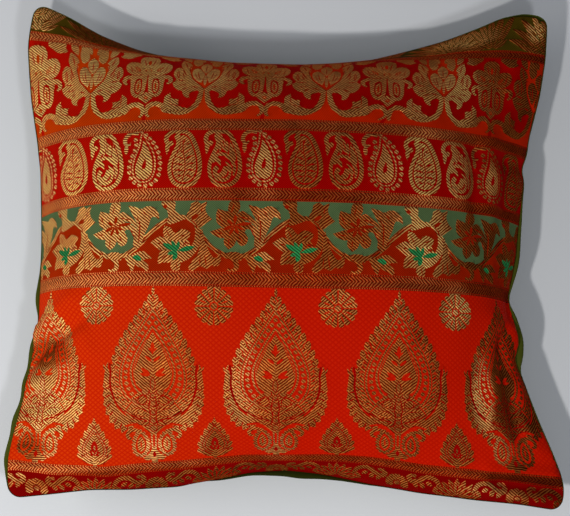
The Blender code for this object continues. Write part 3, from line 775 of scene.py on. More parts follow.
def rosette():
    """Eight-petalled rosette that hangs from the braid, centre t -51.5."""
    shapes = half(RISE, [(0, -36), (4.4, -36), (4.4, -40.5), (0, -41.5)])
    centre = np.array([0, -51.5])
    turns = np.arange(22.5, 360, 45)
    for turn in turns:
        heading = direction(turn)
        side = np.array([-heading[1], heading[0]])
        lean = FALL if heading[0] * heading[1] > 0 else RISE
        rows = ((1.6, 0.5), (5, 2.2), (9, 3.9), (11.6, 4.2))
        outline = [centre + heading * along + side * across for along, across in rows]
        outline += [centre + heading * along - side * across for along, across in reversed(rows)]
        shapes += blob(lean, outline)
        shapes += beads(lean, [centre + heading * 11.2 + side * across for across in (-2.3, 2.3)], 2.5,
            sides=9)
    for turn in turns:
        heading, gap = direction(turn), direction(turn + 22.5)
        shapes += leaf("fire", centre + heading * 5.4, centre + heading * 11.4, 1.2)
        shapes += ribbon("fire", [centre + gap * 3, centre + gap * 8, centre + gap * 13], (0.6, 0.7, 1.4))
    return shapes + ringed("fire", FINE, 0, -51.5, 3.4, 2.4, 10)


def small_buta():
    """Small flame-shaped buta between two large ones. t from -136 to -175."""
    tips = [(0, -135.4), (3.6, -140.2), (7, -145.6), (9.8, -151.4), (11.8, -157.6), (12, -164),
        (9.4, -169.6)]
    edge = toothed(tips, (0.8, -2.4), (-1.6, -0.4))
    side = blob(RISE, edge + [(5.4, -172), (0, -173), (0, -173)])
    for s, t in tips[1:]:
        side += leaf("red", (s - 1.3, t - 0.3), (s - 3.6, t - 3.6), 1, bow=-0.4)
    side += ribbon("red", [(0.3, -143), (4.4, -150), (7.6, -155.6), (8.8, -161), (6.8, -166.6), (3, -170)],
        (0.7,))
    side += ribbon("red", [(0.2, -146.4), (3.6, -152), (6.2, -157), (7, -161.2), (5.2, -165.6),
        (2, -168.2)], (0.6,))
    side += ribbon(FINE, [(0, -144.6), (3.8, -150.6), (7, -156), (8.2, -161), (6.2, -166.2), (3, -169.2)],
        (0.8,))
    heart = half("red", [(0, -153.4), (1.4, -155), (2.6, -158.4), (2.4, -162), (3.2, -165), (0, -165.6)])
    heart += both_sides(leaf("red", (1.6, -161.6), (4.8, -163.6), 1.5))
    heart += leaf(FINE, (0, -157), (0, -162), 1.7) + both_sides(leaf(FINE, (0.3, -165), (2, -161.4), 1))
    return both_sides(side) + heart + leaf(PLAIN, (0, -169), (0, -176), 3.2, belly=0.5)


# Border bands at the foot and the head of the cloth
def fan(lean, s, t, reach, count, spread, width, line="red"):
    """Leaves that stand round a foot point like a fan, with a thin line in each and round each."""
    shapes = []
    for turn in np.linspace(-spread, spread, count):
        heading = direction(turn)[::-1]
        root = np.array([s, t]) + heading * reach * 0.12
        tip = np.array([s, t]) + heading * reach
        shapes += rimmed(lean if turn > 0 else OTHER_LEAN[lean], root, tip, width, rim=line)
        shapes += leaf(line, root + heading * reach * 0.3, tip - heading * reach * 0.2, 0.8)
    return shapes


def foot_motifs():
    """C-scrolls with leaves, ring-shaped flowers and fans between them. t from -200 to -183."""
    scroll = ribbon(RISE, [(11, -185.2), (8.6, -188.6), (10.6, -191.6), (15.2, -190.4), (19.4, -186.6),
        (24, -185.6), (28.6, -188), (31.4, -193.6)], (3, 3.8, 4, 4, 4, 3.8, 3.4, 2.4))
    scroll += rimmed(RISE, (12.2, -191.8), (14.8, -197), 3.8)
    scroll += rimmed(FALL, (17, -190.8), (19.8, -196.4), 4)
    scroll += rimmed(RISE, (20.8, -189.6), (25.6, -193.4), 3.6)
    scroll += round_spot(FINE, 12.4, -186.2, 1.7, sides=8)
    scroll += rimmed(FALL, (30, -192), (26, -198.6), 3.4)
    flower = []
    for turn in np.linspace(-104, 104, 7):
        heading = direction(turn)[::-1]
        flower += round_spot(RISE if turn > 0 else FALL, heading[0] * 5.4, -196 + heading[1] * 5.4, 3.1,
            sides=10)
    flower += round_spot("deep_red", 0, -196, 3, sides=10) + round_spot(FINE, 0, -196, 2.1, sides=8)
    palm = fan(RISE, 0, -201.5, 18, 9, 78, 5)
    return both_sides(scroll) + flower + moved(palm, REPEAT / 2)


def head_motifs():
    """Broad feathered leaf mass and narrow flower by turns. t from 177 to 200."""
    broad = fan(RISE, 0, 174, 42, 11, 74, 8.4, line="dark_green")
    broad += fan(FALL, 0, 174.5, 23, 9, 74, 6.6, line="dark_green")
    broad += fan(RISE, 0, 175, 12, 5, 60, 5, line="dark_green")
    narrow = fan(FALL, 0, 175, 40, 5, 30, 6.2, line="dark_green")
    narrow += fan(RISE, 0, 176, 16, 5, 52, 4.4, line="dark_green")
    return moved(broad, 10) + moved(narrow, REPEAT / 2)


def braid(t0, t1):
    """Arrow braid between two thin beaded lines."""
    middle = (t0 + t1) / 2
    strips = (("braid_ground", t0, t1), ("braid_fall", middle, t1 - 1.5), ("braid_rise", t0 + 1.5, middle),
        ("bead_line", t1 - 1.1, t1 - 0.3), ("bead_line", t0 + 0.3, t0 + 1.1))
    return [shape for colour, low, high in strips for shape in strip(colour, low, high)]


# Place of one large motif of each band, and the ends of the pattern past the cut edge
PALMETTE_S = -149.6
PAISLEY_S = 12.7
BUTA_S = -5.9
FOOT_T, HEAD_T = -206, 206


def repeated(shapes, s):
    """The shapes at a place, and again one repeat to each side, for a tile that starts at s = 0."""
    place = s % REPEAT
    return [shape for shift in (-REPEAT, 0, REPEAT, 2 * REPEAT) for shape in moved(shapes, place + shift)]


def bands():
    """Bands and braids from foot to head: lowest and highest t of each, and its shapes over one repeat."""
    third = REPEAT / 3
    half_repeat = REPEAT / 2
    foot = repeated(foot_motifs(), BUTA_S)
    butas = repeated(large_buta(), BUTA_S) + repeated(rosette() + small_buta(), BUTA_S + half_repeat)
    paisleys = repeated(sprig_paisley(), PAISLEY_S) + repeated(spiral_paisley(), PAISLEY_S + third)
    paisleys += repeated(dotted_paisley(), PAISLEY_S + 2 * third)
    palmettes = repeated(palmette(), PALMETTE_S) + repeated(carnation(), PALMETTE_S + half_repeat)
    rows = (
        ("deep_red", FOOT_T, -183, foot),
        ("fire", -174, -37.5, butas),
        ("brick_red", -26.5, 25, repeated(vine(), 0)),
        ("red", 34.8, 79.5, paisleys),
        ("red", 89.5, 168, palmettes),
        ("dark_green", 176, HEAD_T, repeated(head_motifs(), PALMETTE_S)),
    )
    result = []
    for index, (colour, low, high, shapes) in enumerate(rows):
        result.append((low, high, strip(colour, low, high) + shapes))
        if high < HEAD_T:
            result.append((high, rows[index + 1][1], braid(high, rows[index + 1][1])))
    return result


# Weave of the front cloth, in millimetres over the flat cloth. TILE_STEP spaces the places where it can bend,
# WELD and MERGE are how close two points are to count as one, and CUT is half the cloth
TILE_STEP = 3.2
TILE_MARGIN = 1.0
WELD = 0.0001
MERGE = 0.1
CUT = 200.0
THREADS = (FALL, RISE, PLAIN, FINE)
# Copies of the tile that cover the cloth, and how far past the cut edge the middle of a triangle may lie
TILE_COPIES = range(-3, 3)
PAST_CUT = 4.0

# How far the bands near the foot and the head run up, and the head bands to the right, as (s, millimetres).
# Each grows in between two values of t
FOOT_DRIFT = (
    (-195, 4.5), (-165, -1.5), (-130, -5.5), (-110, -2.5), (-95, -1.5), (-60, 0), (-30, 1.5), (0, 0),
    (20, 2.5), (40, 5), (60, 5.5), (100, 1.5), (195, -0.5),
)
FOOT_DRIFT_FROM, FOOT_DRIFT_TO = -120.0, -180.0
HEAD_DRIFT = ((-200, 1.5), (-100, 1), (0, 0), (80, -2), (150, -6), (200, -9))
HEAD_DRIFT_FROM, HEAD_DRIFT_TO = 130.0, 170.0
HEAD_SLIP = ((-200, 0), (-60, 0), (-20, 1.3), (28, 3.4), (73, 5.2), (117, 4.8), (156, 1.5), (200, 0))
HEAD_SLIP_FROM, HEAD_SLIP_TO = 89.5, 96.0


def inside(spots, outline):
    """Which places lie inside a closed outline."""
    s, t = spots[:, :1], spots[:, 1:]
    s0, t0 = outline.T
    s1, t1 = np.roll(outline, -1, axis=0).T
    crosses = (t0 <= t) != (t1 <= t)
    run = np.where(t1 == t0, 1.0, t1 - t0)
    return ((crosses & (s < s0 + (t - t0) * (s1 - s0) / run)).sum(axis=1) % 2).astype(bool)


def tile_lattice():
    """Free places all over one repeat, so that the cloth can bend between the woven shapes."""
    columns = int(REPEAT / TILE_STEP)
    rows = int((HEAD_T - FOOT_T) / TILE_STEP)
    places = []
    for row in range(rows + 1):
        offset = 0.5 if row % 2 else 0.0
        t = FOOT_T + (HEAD_T - FOOT_T) * row / rows
        places += [(0.0, t), (REPEAT, t)]
        places += [(REPEAT * (column + offset) / columns, t) for column in range(1, columns)]
    return places


def short_edged(outline):
    """The outline with long edges cut into pieces, so that they bend with the cloth."""
    places = []
    for start, end in zip(outline, np.roll(outline, -1, axis=0)):
        parts = max(1, int(np.hypot(*(end - start)) / TILE_STEP))
        places += [tuple(start + (end - start) * part / parts) for part in range(parts)]
    return places


def tile_shapes():
    """Colour and outline of every shape that reaches into the tile, each kept inside its own band."""
    return [
        (colour, np.stack([outline[:, 0], np.clip(outline[:, 1], low, high)], 1))
        for low, high, shapes in bands() for colour, outline in shapes
        if outline[:, 0].max() > -TILE_MARGIN and outline[:, 0].min() < REPEAT + TILE_MARGIN
    ]


def woven_tile():
    """One repeat of the whole pattern: points, triangles and the colour name of each triangle."""
    shapes = tile_shapes()
    points = tile_lattice()
    edges = []
    for _, outline in shapes:
        outline = short_edged(outline)
        start, count = len(points), len(outline)
        points += outline
        edges += [(start + i, start + (i + 1) % count) for i in range(count)]
    spots, _, faces, _, _, _ = delaunay_2d_cdt([Vector(point) for point in points], edges, [], 0, WELD, False)
    spots = np.array([tuple(spot) for spot in spots])
    faces = np.array([tuple(face) for face in faces])
    middles = spots[faces].mean(axis=1)
    kept = (middles[:, 0] > 0.0) & (middles[:, 0] < REPEAT)
    faces, middles = faces[kept], middles[kept]
    names = np.full(len(faces), "red", dtype="<U16")
    for colour, outline in shapes:
        within = (middles >= outline.min(axis=0)) & (middles <= outline.max(axis=0))
        near = np.all(within, axis=1).nonzero()[0]
        names[near[inside(middles[near], outline)]] = colour
    return spots.tolist(), faces.tolist(), names.tolist()


def drift(table, s, t, start, full):
    """Offset from a table of s that grows in from one t to another."""
    return np.interp(s, *zip(*table)) * np.clip((t - start) / (full - start), 0.0, 1.0)


def drifted(s, t):
    """Where a place of the straight weave lies on the cloth, whose bands near the foot and the head bend."""
    foot = drift(FOOT_DRIFT, s, t, FOOT_DRIFT_FROM, FOOT_DRIFT_TO)
    head = drift(HEAD_DRIFT, s, t, HEAD_DRIFT_FROM, HEAD_DRIFT_TO)
    slip = drift(HEAD_SLIP, s, t, HEAD_SLIP_FROM, HEAD_SLIP_TO)
    return float(s + slip), float(t + foot + head)


def woven_mesh(name):
    """Flat mesh of the whole cloth, cut square, its colour names, and which vertices are gold thread."""
    spots, faces, names = woven_tile()
    order = sorted(set(names))
    bm = bmesh.new()
    for repeat in TILE_COPIES:
        verts = {}
        for face, colour in zip(faces, names):
            middle = sum(spots[i][0] for i in face) / len(face) + repeat * REPEAT
            if abs(middle) > CUT + PAST_CUT:
                continue
            for index in face:
                if index not in verts:
                    verts[index] = bm.verts.new((spots[index][0] + repeat * REPEAT, spots[index][1], 0.0))
            made = bm.faces.new([verts[index] for index in face])
            made.material_index = order.index(colour)
    bmesh.ops.remove_doubles(bm, verts=bm.verts, dist=MERGE)
    for vert in bm.verts:
        vert.co.xy = drifted(vert.co.x, vert.co.y)
    for across, up in ((1, 0), (-1, 0), (0, 1), (0, -1)):
        geometry = bm.verts[:] + bm.edges[:] + bm.faces[:]
        bmesh.ops.bisect_plane(bm, geom=geometry, dist=WELD, plane_co=(across * CUT, up * CUT, 0.0),
                               plane_no=(across, up, 0.0), clear_outer=True)
    thread_slots = {order.index(colour) for colour in order if colour in THREADS}
    raised = [any(face.material_index in thread_slots for face in vert.link_faces) for vert in bm.verts]
    mesh = bpy.data.meshes.new(name)
    bm.to_mesh(mesh)
    bm.free()
    return mesh, order, np.array(raised)


# Folds: cloth places of both ends, half width across, height (less than 0 is a groove), all in millimetres
FRONT_FOLDS = (
    (-205, -72, -160, -46, 8, 3.4), (-205, -94, -152, -62, 7, -4.6), (-205, -114, -164, -96, 9, 2.2),
    (-152, -62, -142, -84, 6, 1.6), (-200, -152, -176, -160, 9, -2.2), (-168, -186, -188, -160, 8, 1.4),
    (198, -40, 172, -72, 6, -2.2), (172, -72, 174, -140, 8, -2.6), (190, -60, 196, -74, 6, 2.2),
    (160, -60, 158, -130, 9, 1.6), (186, -84, 188, -150, 7, 1.6), (205, -185, 156, -184, 4.5, -4.6),
    (200, -174, 150, -174, 6, 3.4), (200, -197, 150, -195, 5, 1.8), (200, 44, 176, 36, 7, -1.8),
    (176, 96, 190, 120, 8, -1.2), (168, 20, 172, -20, 8, -1.2), (143, 76, 141, 32, 6, -3.0),
    (158, 84, 160, 26, 7, 1.8), (176, 74, 178, 38, 5, -1.8), (188, 70, 188, 40, 5, 1.2),
    (165, 150, 163, 108, 6, -1.8), (178, 150, 176, 100, 6, 1.4), (152, 8, 158, -24, 6, -1.4),
    (-196, 150, -168, 120, 9, -1.0), (-176, 176, -120, 168, 7, 1.2), (176, 176, 128, 172, 7, 1.2),
    (-110, 190, 100, 184, 9, -1.4), (-196, 20, -180, 0, 7, -1.2), (-196, 62, -176, 52, 8, 1.0),
    (-120, -196, -60, -192, 7, 1.2), (60, -192, 130, -196, 7, 1.2),
)
BACK_FOLDS = (
    (150, 150, 110, 110, 14, -3), (-150, 150, -110, 110, 14, -3), (150, -150, 110, -110, 14, -3),
    (-150, -150, -110, -110, 14, -3), (-190, 60, -140, 50, 9, -2), (190, -20, 140, -16, 9, -2),
    (-190, -60, -145, -50, 9, -2), (20, 190, 16, 145, 9, -2), (-60, -190, -50, -150, 9, -2),
)
# How fast a fold fades past its ends, against how fast it fades to its sides
END_SHARE = 0.8
# Slight unevenness of the front cloth: height, then length and offset across and up, or only lengths
BROAD_WAVE = (0.35, 23.0, 1.3, 31.0, 0.4)
SLANT_WAVE = (0.25, 13.0, 17.0)
# Height above the floor in metres from which the folds of the back cloth are whole
FREE_HEIGHT = 0.012


def folds(table, s, t):
    """Height in millimetres of the folds in a table."""
    height = np.zeros_like(s)
    for s0, t0, s1, t1, width, amount in table:
        run = np.array([s1 - s0, t1 - t0], float)
        length = np.hypot(*run)
        run = run / length
        along = (s - s0) * run[0] + (t - t0) * run[1]
        past = np.maximum(np.maximum(-along, along - length), 0.0)
        across = np.hypot((s - s0) * -run[1] + (t - t0) * run[0], past * END_SHARE)
        height = height + amount * np.exp(-(across / width)**2)
    return height


def creases(s, t):
    """Height in millimetres of the folds and the slight unevenness of the front cloth."""
    broad, across, offset_across, up, offset_up = BROAD_WAVE
    slant, slant_across, slant_up = SLANT_WAVE
    uneven = broad * np.sin(s / across + offset_across) * np.sin(t / up + offset_up)
    uneven = uneven + slant * np.sin(s / slant_across - t / slant_up)
    return folds(FRONT_FOLDS, s, t) + uneven


def creases_of_back(s, t):
    """Height in millimetres of the folds in the back cloth, none where it lies on the floor."""
    _, _, z = back_surface(s / CUT, t / CUT)
    return folds(BACK_FOLDS, s, t) * np.clip(z / FREE_HEIGHT, 0.0, 1.0)


# Painted light and painted shade on the gold, put into its colour: brighter toward the left side and darker
# toward the right side, from foot to head in bands, and with painted highlights and painted fold shadows in
# patches. From side to side and from foot to head as (millimetres, amount), and then in patches: cloth place,
# half width and half height in millimetres, amount
PAINTED_LIGHT_ACROSS = (
    (-200, 1.0), (-150, 1.0), (-95, 0.7), (-40, 0.15), (40, 0.1), (120, 0.15), (158, -0.4), (200, -1.0),
)
PAINTED_LIGHT_UP = (
    (-200, 0.0), (-180, -0.2), (-165, -0.4), (-60, -0.4), (-36, 0.0), (0, 0.0), (30, 0.25), (150, 0.25),
    (176, 0.0), (200, -0.2),
)
PAINTED_LIGHT_SPOTS = (
    (-149, 121, 16, 30, 0.5), (-62, 132, 24, 16, 0.3), (133, 128, 12, 30, 1.3), (112, 104, 10, 10, 0.8),
    (24, 120, 60, 36, 0.2), (-133, 55, 13, 26, 0.3), (-104, 53, 12, 26, 0.4), (-16, 52, 13, 26, 0.7),
    (100, 58, 14, 28, 1.5), (158, 52, 8, 16, 0.8), (-119, -3, 20, 26, 0.3), (-11, -3, 14, 26, 0.7),
    (100, 1, 18, 28, 1.2), (-78, -4, 12, 20, 0.2), (-176, -52, 24, 16, 0.6), (-180, -86, 24, 10, -1.2),
    (-168, -132, 28, 30, 0.5), (-186, -160, 12, 12, -1.0), (-68, -147, 14, 30, 0.5), (-92, -162, 12, 12, 0.6),
    (-31, -105, 12, 50, 0.5), (-5, -165, 16, 16, 0.5), (147, -113, 11, 34, 1.7), (160, -155, 12, 18, 1.2),
    (128, -50, 14, 18, 1.2), (-140, 188, 40, 12, -2.2), (-192, 186, 8, 16, 0.1), (192, 188, 10, 14, 1.9),
    (140, 187, 30, 12, 1.1), (-100, -191, 110, 9, -1.3), (60, -190, 60, 9, -0.4), (160, -190, 34, 9, 0.9),
    (-130, -3, 50, 30, -0.25), (-110, -110, 50, 60, -0.2), (-130, 125, 50, 30, 0.5), (111, 120, 36, 36, 0.35),
    (158, 126, 14, 28, 0.3), (66, -110, 40, 60, 0.3), (-20, -110, 40, 60, 0.25), (150, 0, 26, 26, -0.6),
    (60, -52, 90, 16, 0.3), (105, 55, 40, 26, 0.45), (0, 20, 60, 60, -0.35),
)
# Bounds of the painted light and painted shade on the gold
PAINTED_LIGHT_LEAST, PAINTED_LIGHT_MOST = -1.0, 1.5


def painted_light_on_gold(s, t):
    """Painted light and painted shade for the gold at each place of the front cloth."""
    amount = np.interp(s, *zip(*PAINTED_LIGHT_ACROSS)) + np.interp(t, *zip(*PAINTED_LIGHT_UP))
    for across, up, wide, high, more in PAINTED_LIGHT_SPOTS:
        amount = amount + more * np.exp(-(((s - across) / wide)**2 + ((t - up) / high)**2)**2)
    return np.clip(amount, PAINTED_LIGHT_LEAST, PAINTED_LIGHT_MOST)


# Finishes. Colours are 0 to 255 as seen, and the tones of gold are the dark between its rows, their body and a
# painted shine on their tops, once under painted shade and once under painted light
PAINTED_SHADE_GOLD = ((122, 14, 3), (154, 68, 14), (202, 124, 56))
PAINTED_LIGHT_GOLD = ((122, 20, 4), (196, 112, 30), (252, 206, 128))
PAINTED_LIGHT_SLANT_GOLD = ((122, 20, 4), (186, 104, 26), (242, 190, 112))
PAINTED_SHADE_BRAID = ((120, 7, 2), (148, 40, 10), (186, 86, 34))
PAINTED_LIGHT_BRAID = ((124, 10, 2), (166, 62, 18), (224, 150, 84))
PAINTED_SHADE_LINE = ((138, 50, 14), (152, 76, 26), (184, 112, 54))
PAINTED_LIGHT_LINE = ((160, 66, 22), (196, 118, 48), (246, 198, 132))
EDGE_GOLD = (226, 140, 70)
# Where the three tones lie, from between the rows (0) to their tops (1)
TONE_STOPS = (0.25, 0.48, 0.85)
# Gold weaves: angle across the rows in degrees, tones under painted shade, tones under painted light, pitch of
# the rows in millimetres
GOLDS = {
    FALL: (50.0, PAINTED_SHADE_GOLD, PAINTED_LIGHT_GOLD, 1.75),
    RISE: (-50.0, PAINTED_SHADE_GOLD, PAINTED_LIGHT_SLANT_GOLD, 1.75),
    PLAIN: (85.0, PAINTED_SHADE_GOLD, PAINTED_LIGHT_GOLD, 1.75),
    FINE: (50.0, PAINTED_SHADE_LINE, PAINTED_LIGHT_LINE, 1.75),
    "braid_fall": (44.0, PAINTED_SHADE_BRAID, PAINTED_LIGHT_BRAID, 1.83),
    "braid_rise": (-42.0, PAINTED_SHADE_BRAID, PAINTED_LIGHT_BRAID, 1.83),
    "bead_line": (0.0, PAINTED_SHADE_BRAID, PAINTED_LIGHT_BRAID, 1.75),
}
# Ground weaves: colour, shade at the left side or none, half the loss of light between the threads, and their
# pitch in millimetres
GROUNDS = {
    "orange": ((208, 36, 0), (222, 66, 0), 0.12, 1.1),
    "red": ((176, 2, 0), (206, 16, 0), 0.12, 1.1),
    "deep_red": ((146, 1, 0), (150, 1, 0), 0.12, 1.1),
    "brick_red": ((170, 30, 0), (186, 44, 0), 0.12, 1.1),
    "grey_green": ((94, 118, 74), None, 0.12, 1.1),
    "bright_green": ((50, 152, 82), None, 0.26, 1.75),
    "dark_green": ((82, 64, 8), None, 0.12, 1.1),
    "braid_ground": ((184, 16, 0), (206, 34, 0), 0.12, 1.1),
}
GROUND_ANGLE = 50.0
GROUND_STOPS = (0.2, 0.8)
# Silk of the back cloth: colour, half the loss of light between its threads, their angle and pitch
SILK, SILK_SPREAD, SILK_ANGLE, SILK_PITCH = (78, 86, 26), 0.05, 0.0, 0.8
# Diamond ground: tones from between the threads to their tops, in the middle and at the left side
FIRE_STOPS = (0.06, 0.3, 0.6, 0.92)
FIRE_RED = ((192, 18, 0), (206, 29, 2), (200, 23, 1), (209, 33, 3))
FIRE_ORANGE = ((204, 34, 1), (224, 58, 3), (216, 46, 2), (228, 66, 5))
FIRE_ANGLE, FIRE_PITCH = 48.0, 2.8
GOLD_ROUGHNESS, GOLD_METALLIC, GOLD_SPECULAR = 0.56, 0.85, 0.04
GROUND_ROUGHNESS, GROUND_SPECULAR = 0.6, 0.01
# Depth of the threads in metres, and of the gold's cross threads the angle, pitch and share that they add
GOLD_DEPTH, GROUND_DEPTH = 0.0003, 0.0002
WEFT_ANGLE, WEFT_PITCH, WEFT_SHARE = 90.0, 0.9, 0.2
BUMP_STRENGTH = 0.6
# How unevenly the threads run
GOLD_WAVER, WEFT_WAVER, GROUND_WAVER, FIRE_WAVER = 2.2, 0.8, 1.0, 0.8
# Painted brightness of the gold, from the most painted shade to the most painted light
PAINTED_GLINT_LEAST, PAINTED_GLINT_MOST = 0.5, 1.5
# Values between which nearly all of the noise lies
NOISE_LOW, NOISE_HIGH = 0.3, 0.7
# Uneven brightness: size of the patches in millimetres, darkest and brightest
BROAD_PATCHES = (16.0, 0.75, 1.15)
FINE_PATCHES = (2.0, 0.7, 1.3)
GROUND_PATCHES = (30.0, 0.85, 1.1)
# Shares of the cloth's width over which the left shade gives way, and of its height up to which painted shade
# darkens the back silk, with its brightness at the foot
LEFT_FROM, LEFT_TO = 0.05, 0.5
PAINTED_SHADE_TO, PAINTED_SHADE_AT_FOOT = 0.07, 0.2


def seen(colour):
    """A seen colour as the renderer's own light values."""
    share = [value / 255.0 for value in colour]
    return tuple(c / 12.92 if c <= 0.04045 else ((c + 0.055) / 1.055)**2.4 for c in share) + (1.0,)


def add_node(material, kind, links=(), **values):
    """New node with its settings, its socket values and the links that come into it."""
    node = material.node_tree.nodes.new(kind)
    for name, value in values.items():
        setattr(node, name, value)
    for socket, source in links:
        if isinstance(source, bpy.types.NodeSocket):
            material.node_tree.links.new(source, node.inputs[socket])
        else:
            node.inputs[socket].default_value = source
    return node


def maths(material, operation, *values):
    """Result of one step of arithmetic."""
    node = add_node(material, "ShaderNodeMath", tuple(enumerate(values)), operation=operation)
    return node.outputs["Value"]


def ranged(material, value, low, high, least, most):
    """A value from low to high spread from least to most."""
    node = add_node(material, "ShaderNodeMapRange", (
        ("Value", value), ("From Min", low), ("From Max", high), ("To Min", least), ("To Max", most)))
    return node.outputs["Result"]


def place_along(material, place, axis):
    """Share of the cloth across (X) or up (Y)."""
    return add_node(material, "ShaderNodeSeparateXYZ", ((0, place),)).outputs[axis]


def mixed(material, share, low, high):
    """One colour at share 0 and another at share 1."""
    mix = add_node(material, "ShaderNodeMix", data_type="RGBA")
    for socket, source in ((0, share), (6, low), (7, high)):
        material.node_tree.links.new(source, mix.inputs[socket])
    return mix.outputs[2]


def ramp(material, share, stops, colours):
    """Colours along a share from 0 to 1."""
    node = add_node(material, "ShaderNodeValToRGB", (("Fac", share),))
    while len(node.color_ramp.elements) < len(stops):
        node.color_ramp.elements.new(0.5)
    for element, stop, colour in zip(node.color_ramp.elements, stops, colours):
        element.position = stop
        element.color = seen(colour)
    return node.outputs["Color"]


def scaled(material, colour, share):
    """A colour made darker or brighter by a share."""
    node = add_node(material, "ShaderNodeVectorMath", ((0, colour), ("Scale", share)), operation="SCALE")
    return node.outputs["Vector"]


def new_material(name, roughness, specular, metallic=0.0):
    """Material with a plain shader, and the cloth place as shares to draw threads with."""
    material = bpy.data.materials.new(name)
    material.use_nodes = True
    shader = material.node_tree.nodes["Principled BSDF"]
    shader.inputs["Roughness"].default_value = roughness
    shader.inputs["Metallic"].default_value = metallic
    shader.inputs["Specular IOR Level"].default_value = specular
    place = add_node(material, "ShaderNodeUVMap", uv_map="OFBake")
    return material, shader, place.outputs["UV"]


def threads(material, place, angle, pitch, waver):
    """0 to 1 across each thread. angle is the direction in degrees across the threads."""
    turned = add_node(material, "ShaderNodeMapping", (
        ("Vector", place), ("Rotation", (0.0, 0.0, math.radians(-angle))),
        ("Scale", (2.0 * CUT, 2.0 * CUT, 1.0))))
    wave = add_node(material, "ShaderNodeTexWave", (
        ("Vector", turned.outputs["Vector"]), ("Scale", math.pi / 10.0 / pitch), ("Distortion", waver),
        ("Detail", 1.0), ("Detail Scale", 1.2)), wave_profile="SIN", bands_direction="X")
    return wave.outputs["Fac"]


def patches(material, place, size, darkest, brightest):
    """Slow change of brightness over the cloth, patches about size millimetres wide."""
    noise = add_node(material, "ShaderNodeTexNoise", (
        ("Vector", place), ("Scale", 2.0 * CUT / size), ("Detail", 2.0), ("Roughness", 0.5)))
    return ranged(material, noise.outputs["Fac"], NOISE_LOW, NOISE_HIGH, darkest, brightest)


def coloured(material, shader, colour, height, depth):
    """Links a colour and a small relief of the threads to the shader."""
    bump = add_node(material, "ShaderNodeBump", (
        ("Height", height), ("Distance", depth), ("Strength", BUMP_STRENGTH)))
    material.node_tree.links.new(colour, shader.inputs["Base Color"])
    material.node_tree.links.new(bump.outputs["Normal"], shader.inputs["Normal"])
    return material


def gold(name, angle, dull, bright, pitch):
    """Gold thread in slanting rows over threads that run across, with painted light and painted shade in its
    colour.
    """
    material, shader, place = new_material(name, GOLD_ROUGHNESS, GOLD_SPECULAR, GOLD_METALLIC)
    shader.inputs["Specular Tint"].default_value = seen(EDGE_GOLD)
    rows = threads(material, place, angle, pitch, GOLD_WAVER)
    weft = threads(material, place, WEFT_ANGLE, WEFT_PITCH, WEFT_WAVER)
    # Painted light and painted shade of the gold, kept on the cloth's vertices
    painted_light_share = add_node(material, "ShaderNodeAttribute", attribute_name="painted_light").outputs["Fac"]
    # Tones under painted shade and under painted light, mixed by the painted light share
    low, high = (ramp(material, rows, TONE_STOPS, tones) for tones in (dull, bright))
    colour = mixed(material, painted_light_share, low, high)
    # Painted brightness: darker where there is painted shade, brighter where there is painted light
    brightness = ranged(material, painted_light_share, PAINTED_LIGHT_LEAST, PAINTED_LIGHT_MOST, PAINTED_GLINT_LEAST, PAINTED_GLINT_MOST)
    broad = patches(material, place, *BROAD_PATCHES)
    uneven = maths(material, "MULTIPLY", broad, patches(material, place, *FINE_PATCHES))
    colour = scaled(material, colour, maths(material, "MULTIPLY", brightness, uneven))
    relief = maths(material, "MULTIPLY_ADD", weft, WEFT_SHARE, rows)
    return coloured(material, shader, colour, relief, GOLD_DEPTH)


def weave_tone(material, rows, colour, spread):
    """A colour with darker lines between its threads."""
    darker = tuple(value * (1.0 - 2.0 * spread) for value in colour)
    return ramp(material, rows, GROUND_STOPS, (darker, colour))


def leaning(material, place):
    """0 at the left side of the cloth and 1 from its middle on."""
    return ranged(material, place_along(material, place, "X"), LEFT_FROM, LEFT_TO, 0.0, 1.0)


def ground_tone(material, place, rows, colour, left, spread):
    """Colour of a plain weave, in another shade toward the left side where one is given."""
    tone = weave_tone(material, rows, colour, spread)
    if left:
        tone = mixed(material, leaning(material, place), weave_tone(material, rows, left, spread), tone)
    return scaled(material, tone, patches(material, place, *GROUND_PATCHES))


def ground(name, colour, left, spread, pitch):
    """Plain ground weave between the gold shapes."""
    material, shader, place = new_material(name, GROUND_ROUGHNESS, GROUND_SPECULAR)
    rows = threads(material, place, GROUND_ANGLE, pitch, GROUND_WAVER)
    tone = ground_tone(material, place, rows, colour, left, spread)
    return coloured(material, shader, tone, rows, GROUND_DEPTH)


def green_silk():
    """Plain silk of the back, with painted shade where it turns under the foot of the cushion."""
    material, shader, place = new_material("green_silk", GROUND_ROUGHNESS, GROUND_SPECULAR)
    rows = threads(material, place, SILK_ANGLE, SILK_PITCH, GROUND_WAVER)
    tone = ground_tone(material, place, rows, SILK, None, SILK_SPREAD)
    # Painted shade along the foot of the back silk
    under = ranged(material, place_along(material, place, "Y"), 0.0, PAINTED_SHADE_TO, PAINTED_SHADE_AT_FOOT, 1.0)
    return coloured(material, shader, scaled(material, tone, under), rows, GROUND_DEPTH)


def fire_ground(name):
    """Red and orange ground with a lattice of small diamonds, more orange toward the left side."""
    material, shader, place = new_material(name, GROUND_ROUGHNESS, GROUND_SPECULAR)
    fall = threads(material, place, FIRE_ANGLE, FIRE_PITCH, FIRE_WAVER)
    rise = threads(material, place, -FIRE_ANGLE, FIRE_PITCH, FIRE_WAVER)
    both = maths(material, "MINIMUM", fall, rise)
    orange, red = (ramp(material, both, FIRE_STOPS, tones) for tones in (FIRE_ORANGE, FIRE_RED))
    tone = mixed(material, leaning(material, place), orange, red)
    return coloured(material, shader, tone, both, GROUND_DEPTH)


def weave_material(name):
    """Material of a woven colour."""
    if name in GOLDS:
        return gold(name, *GOLDS[name])
    if name in GROUNDS:
        return ground(name, *GROUNDS[name])
    return fire_ground(name)


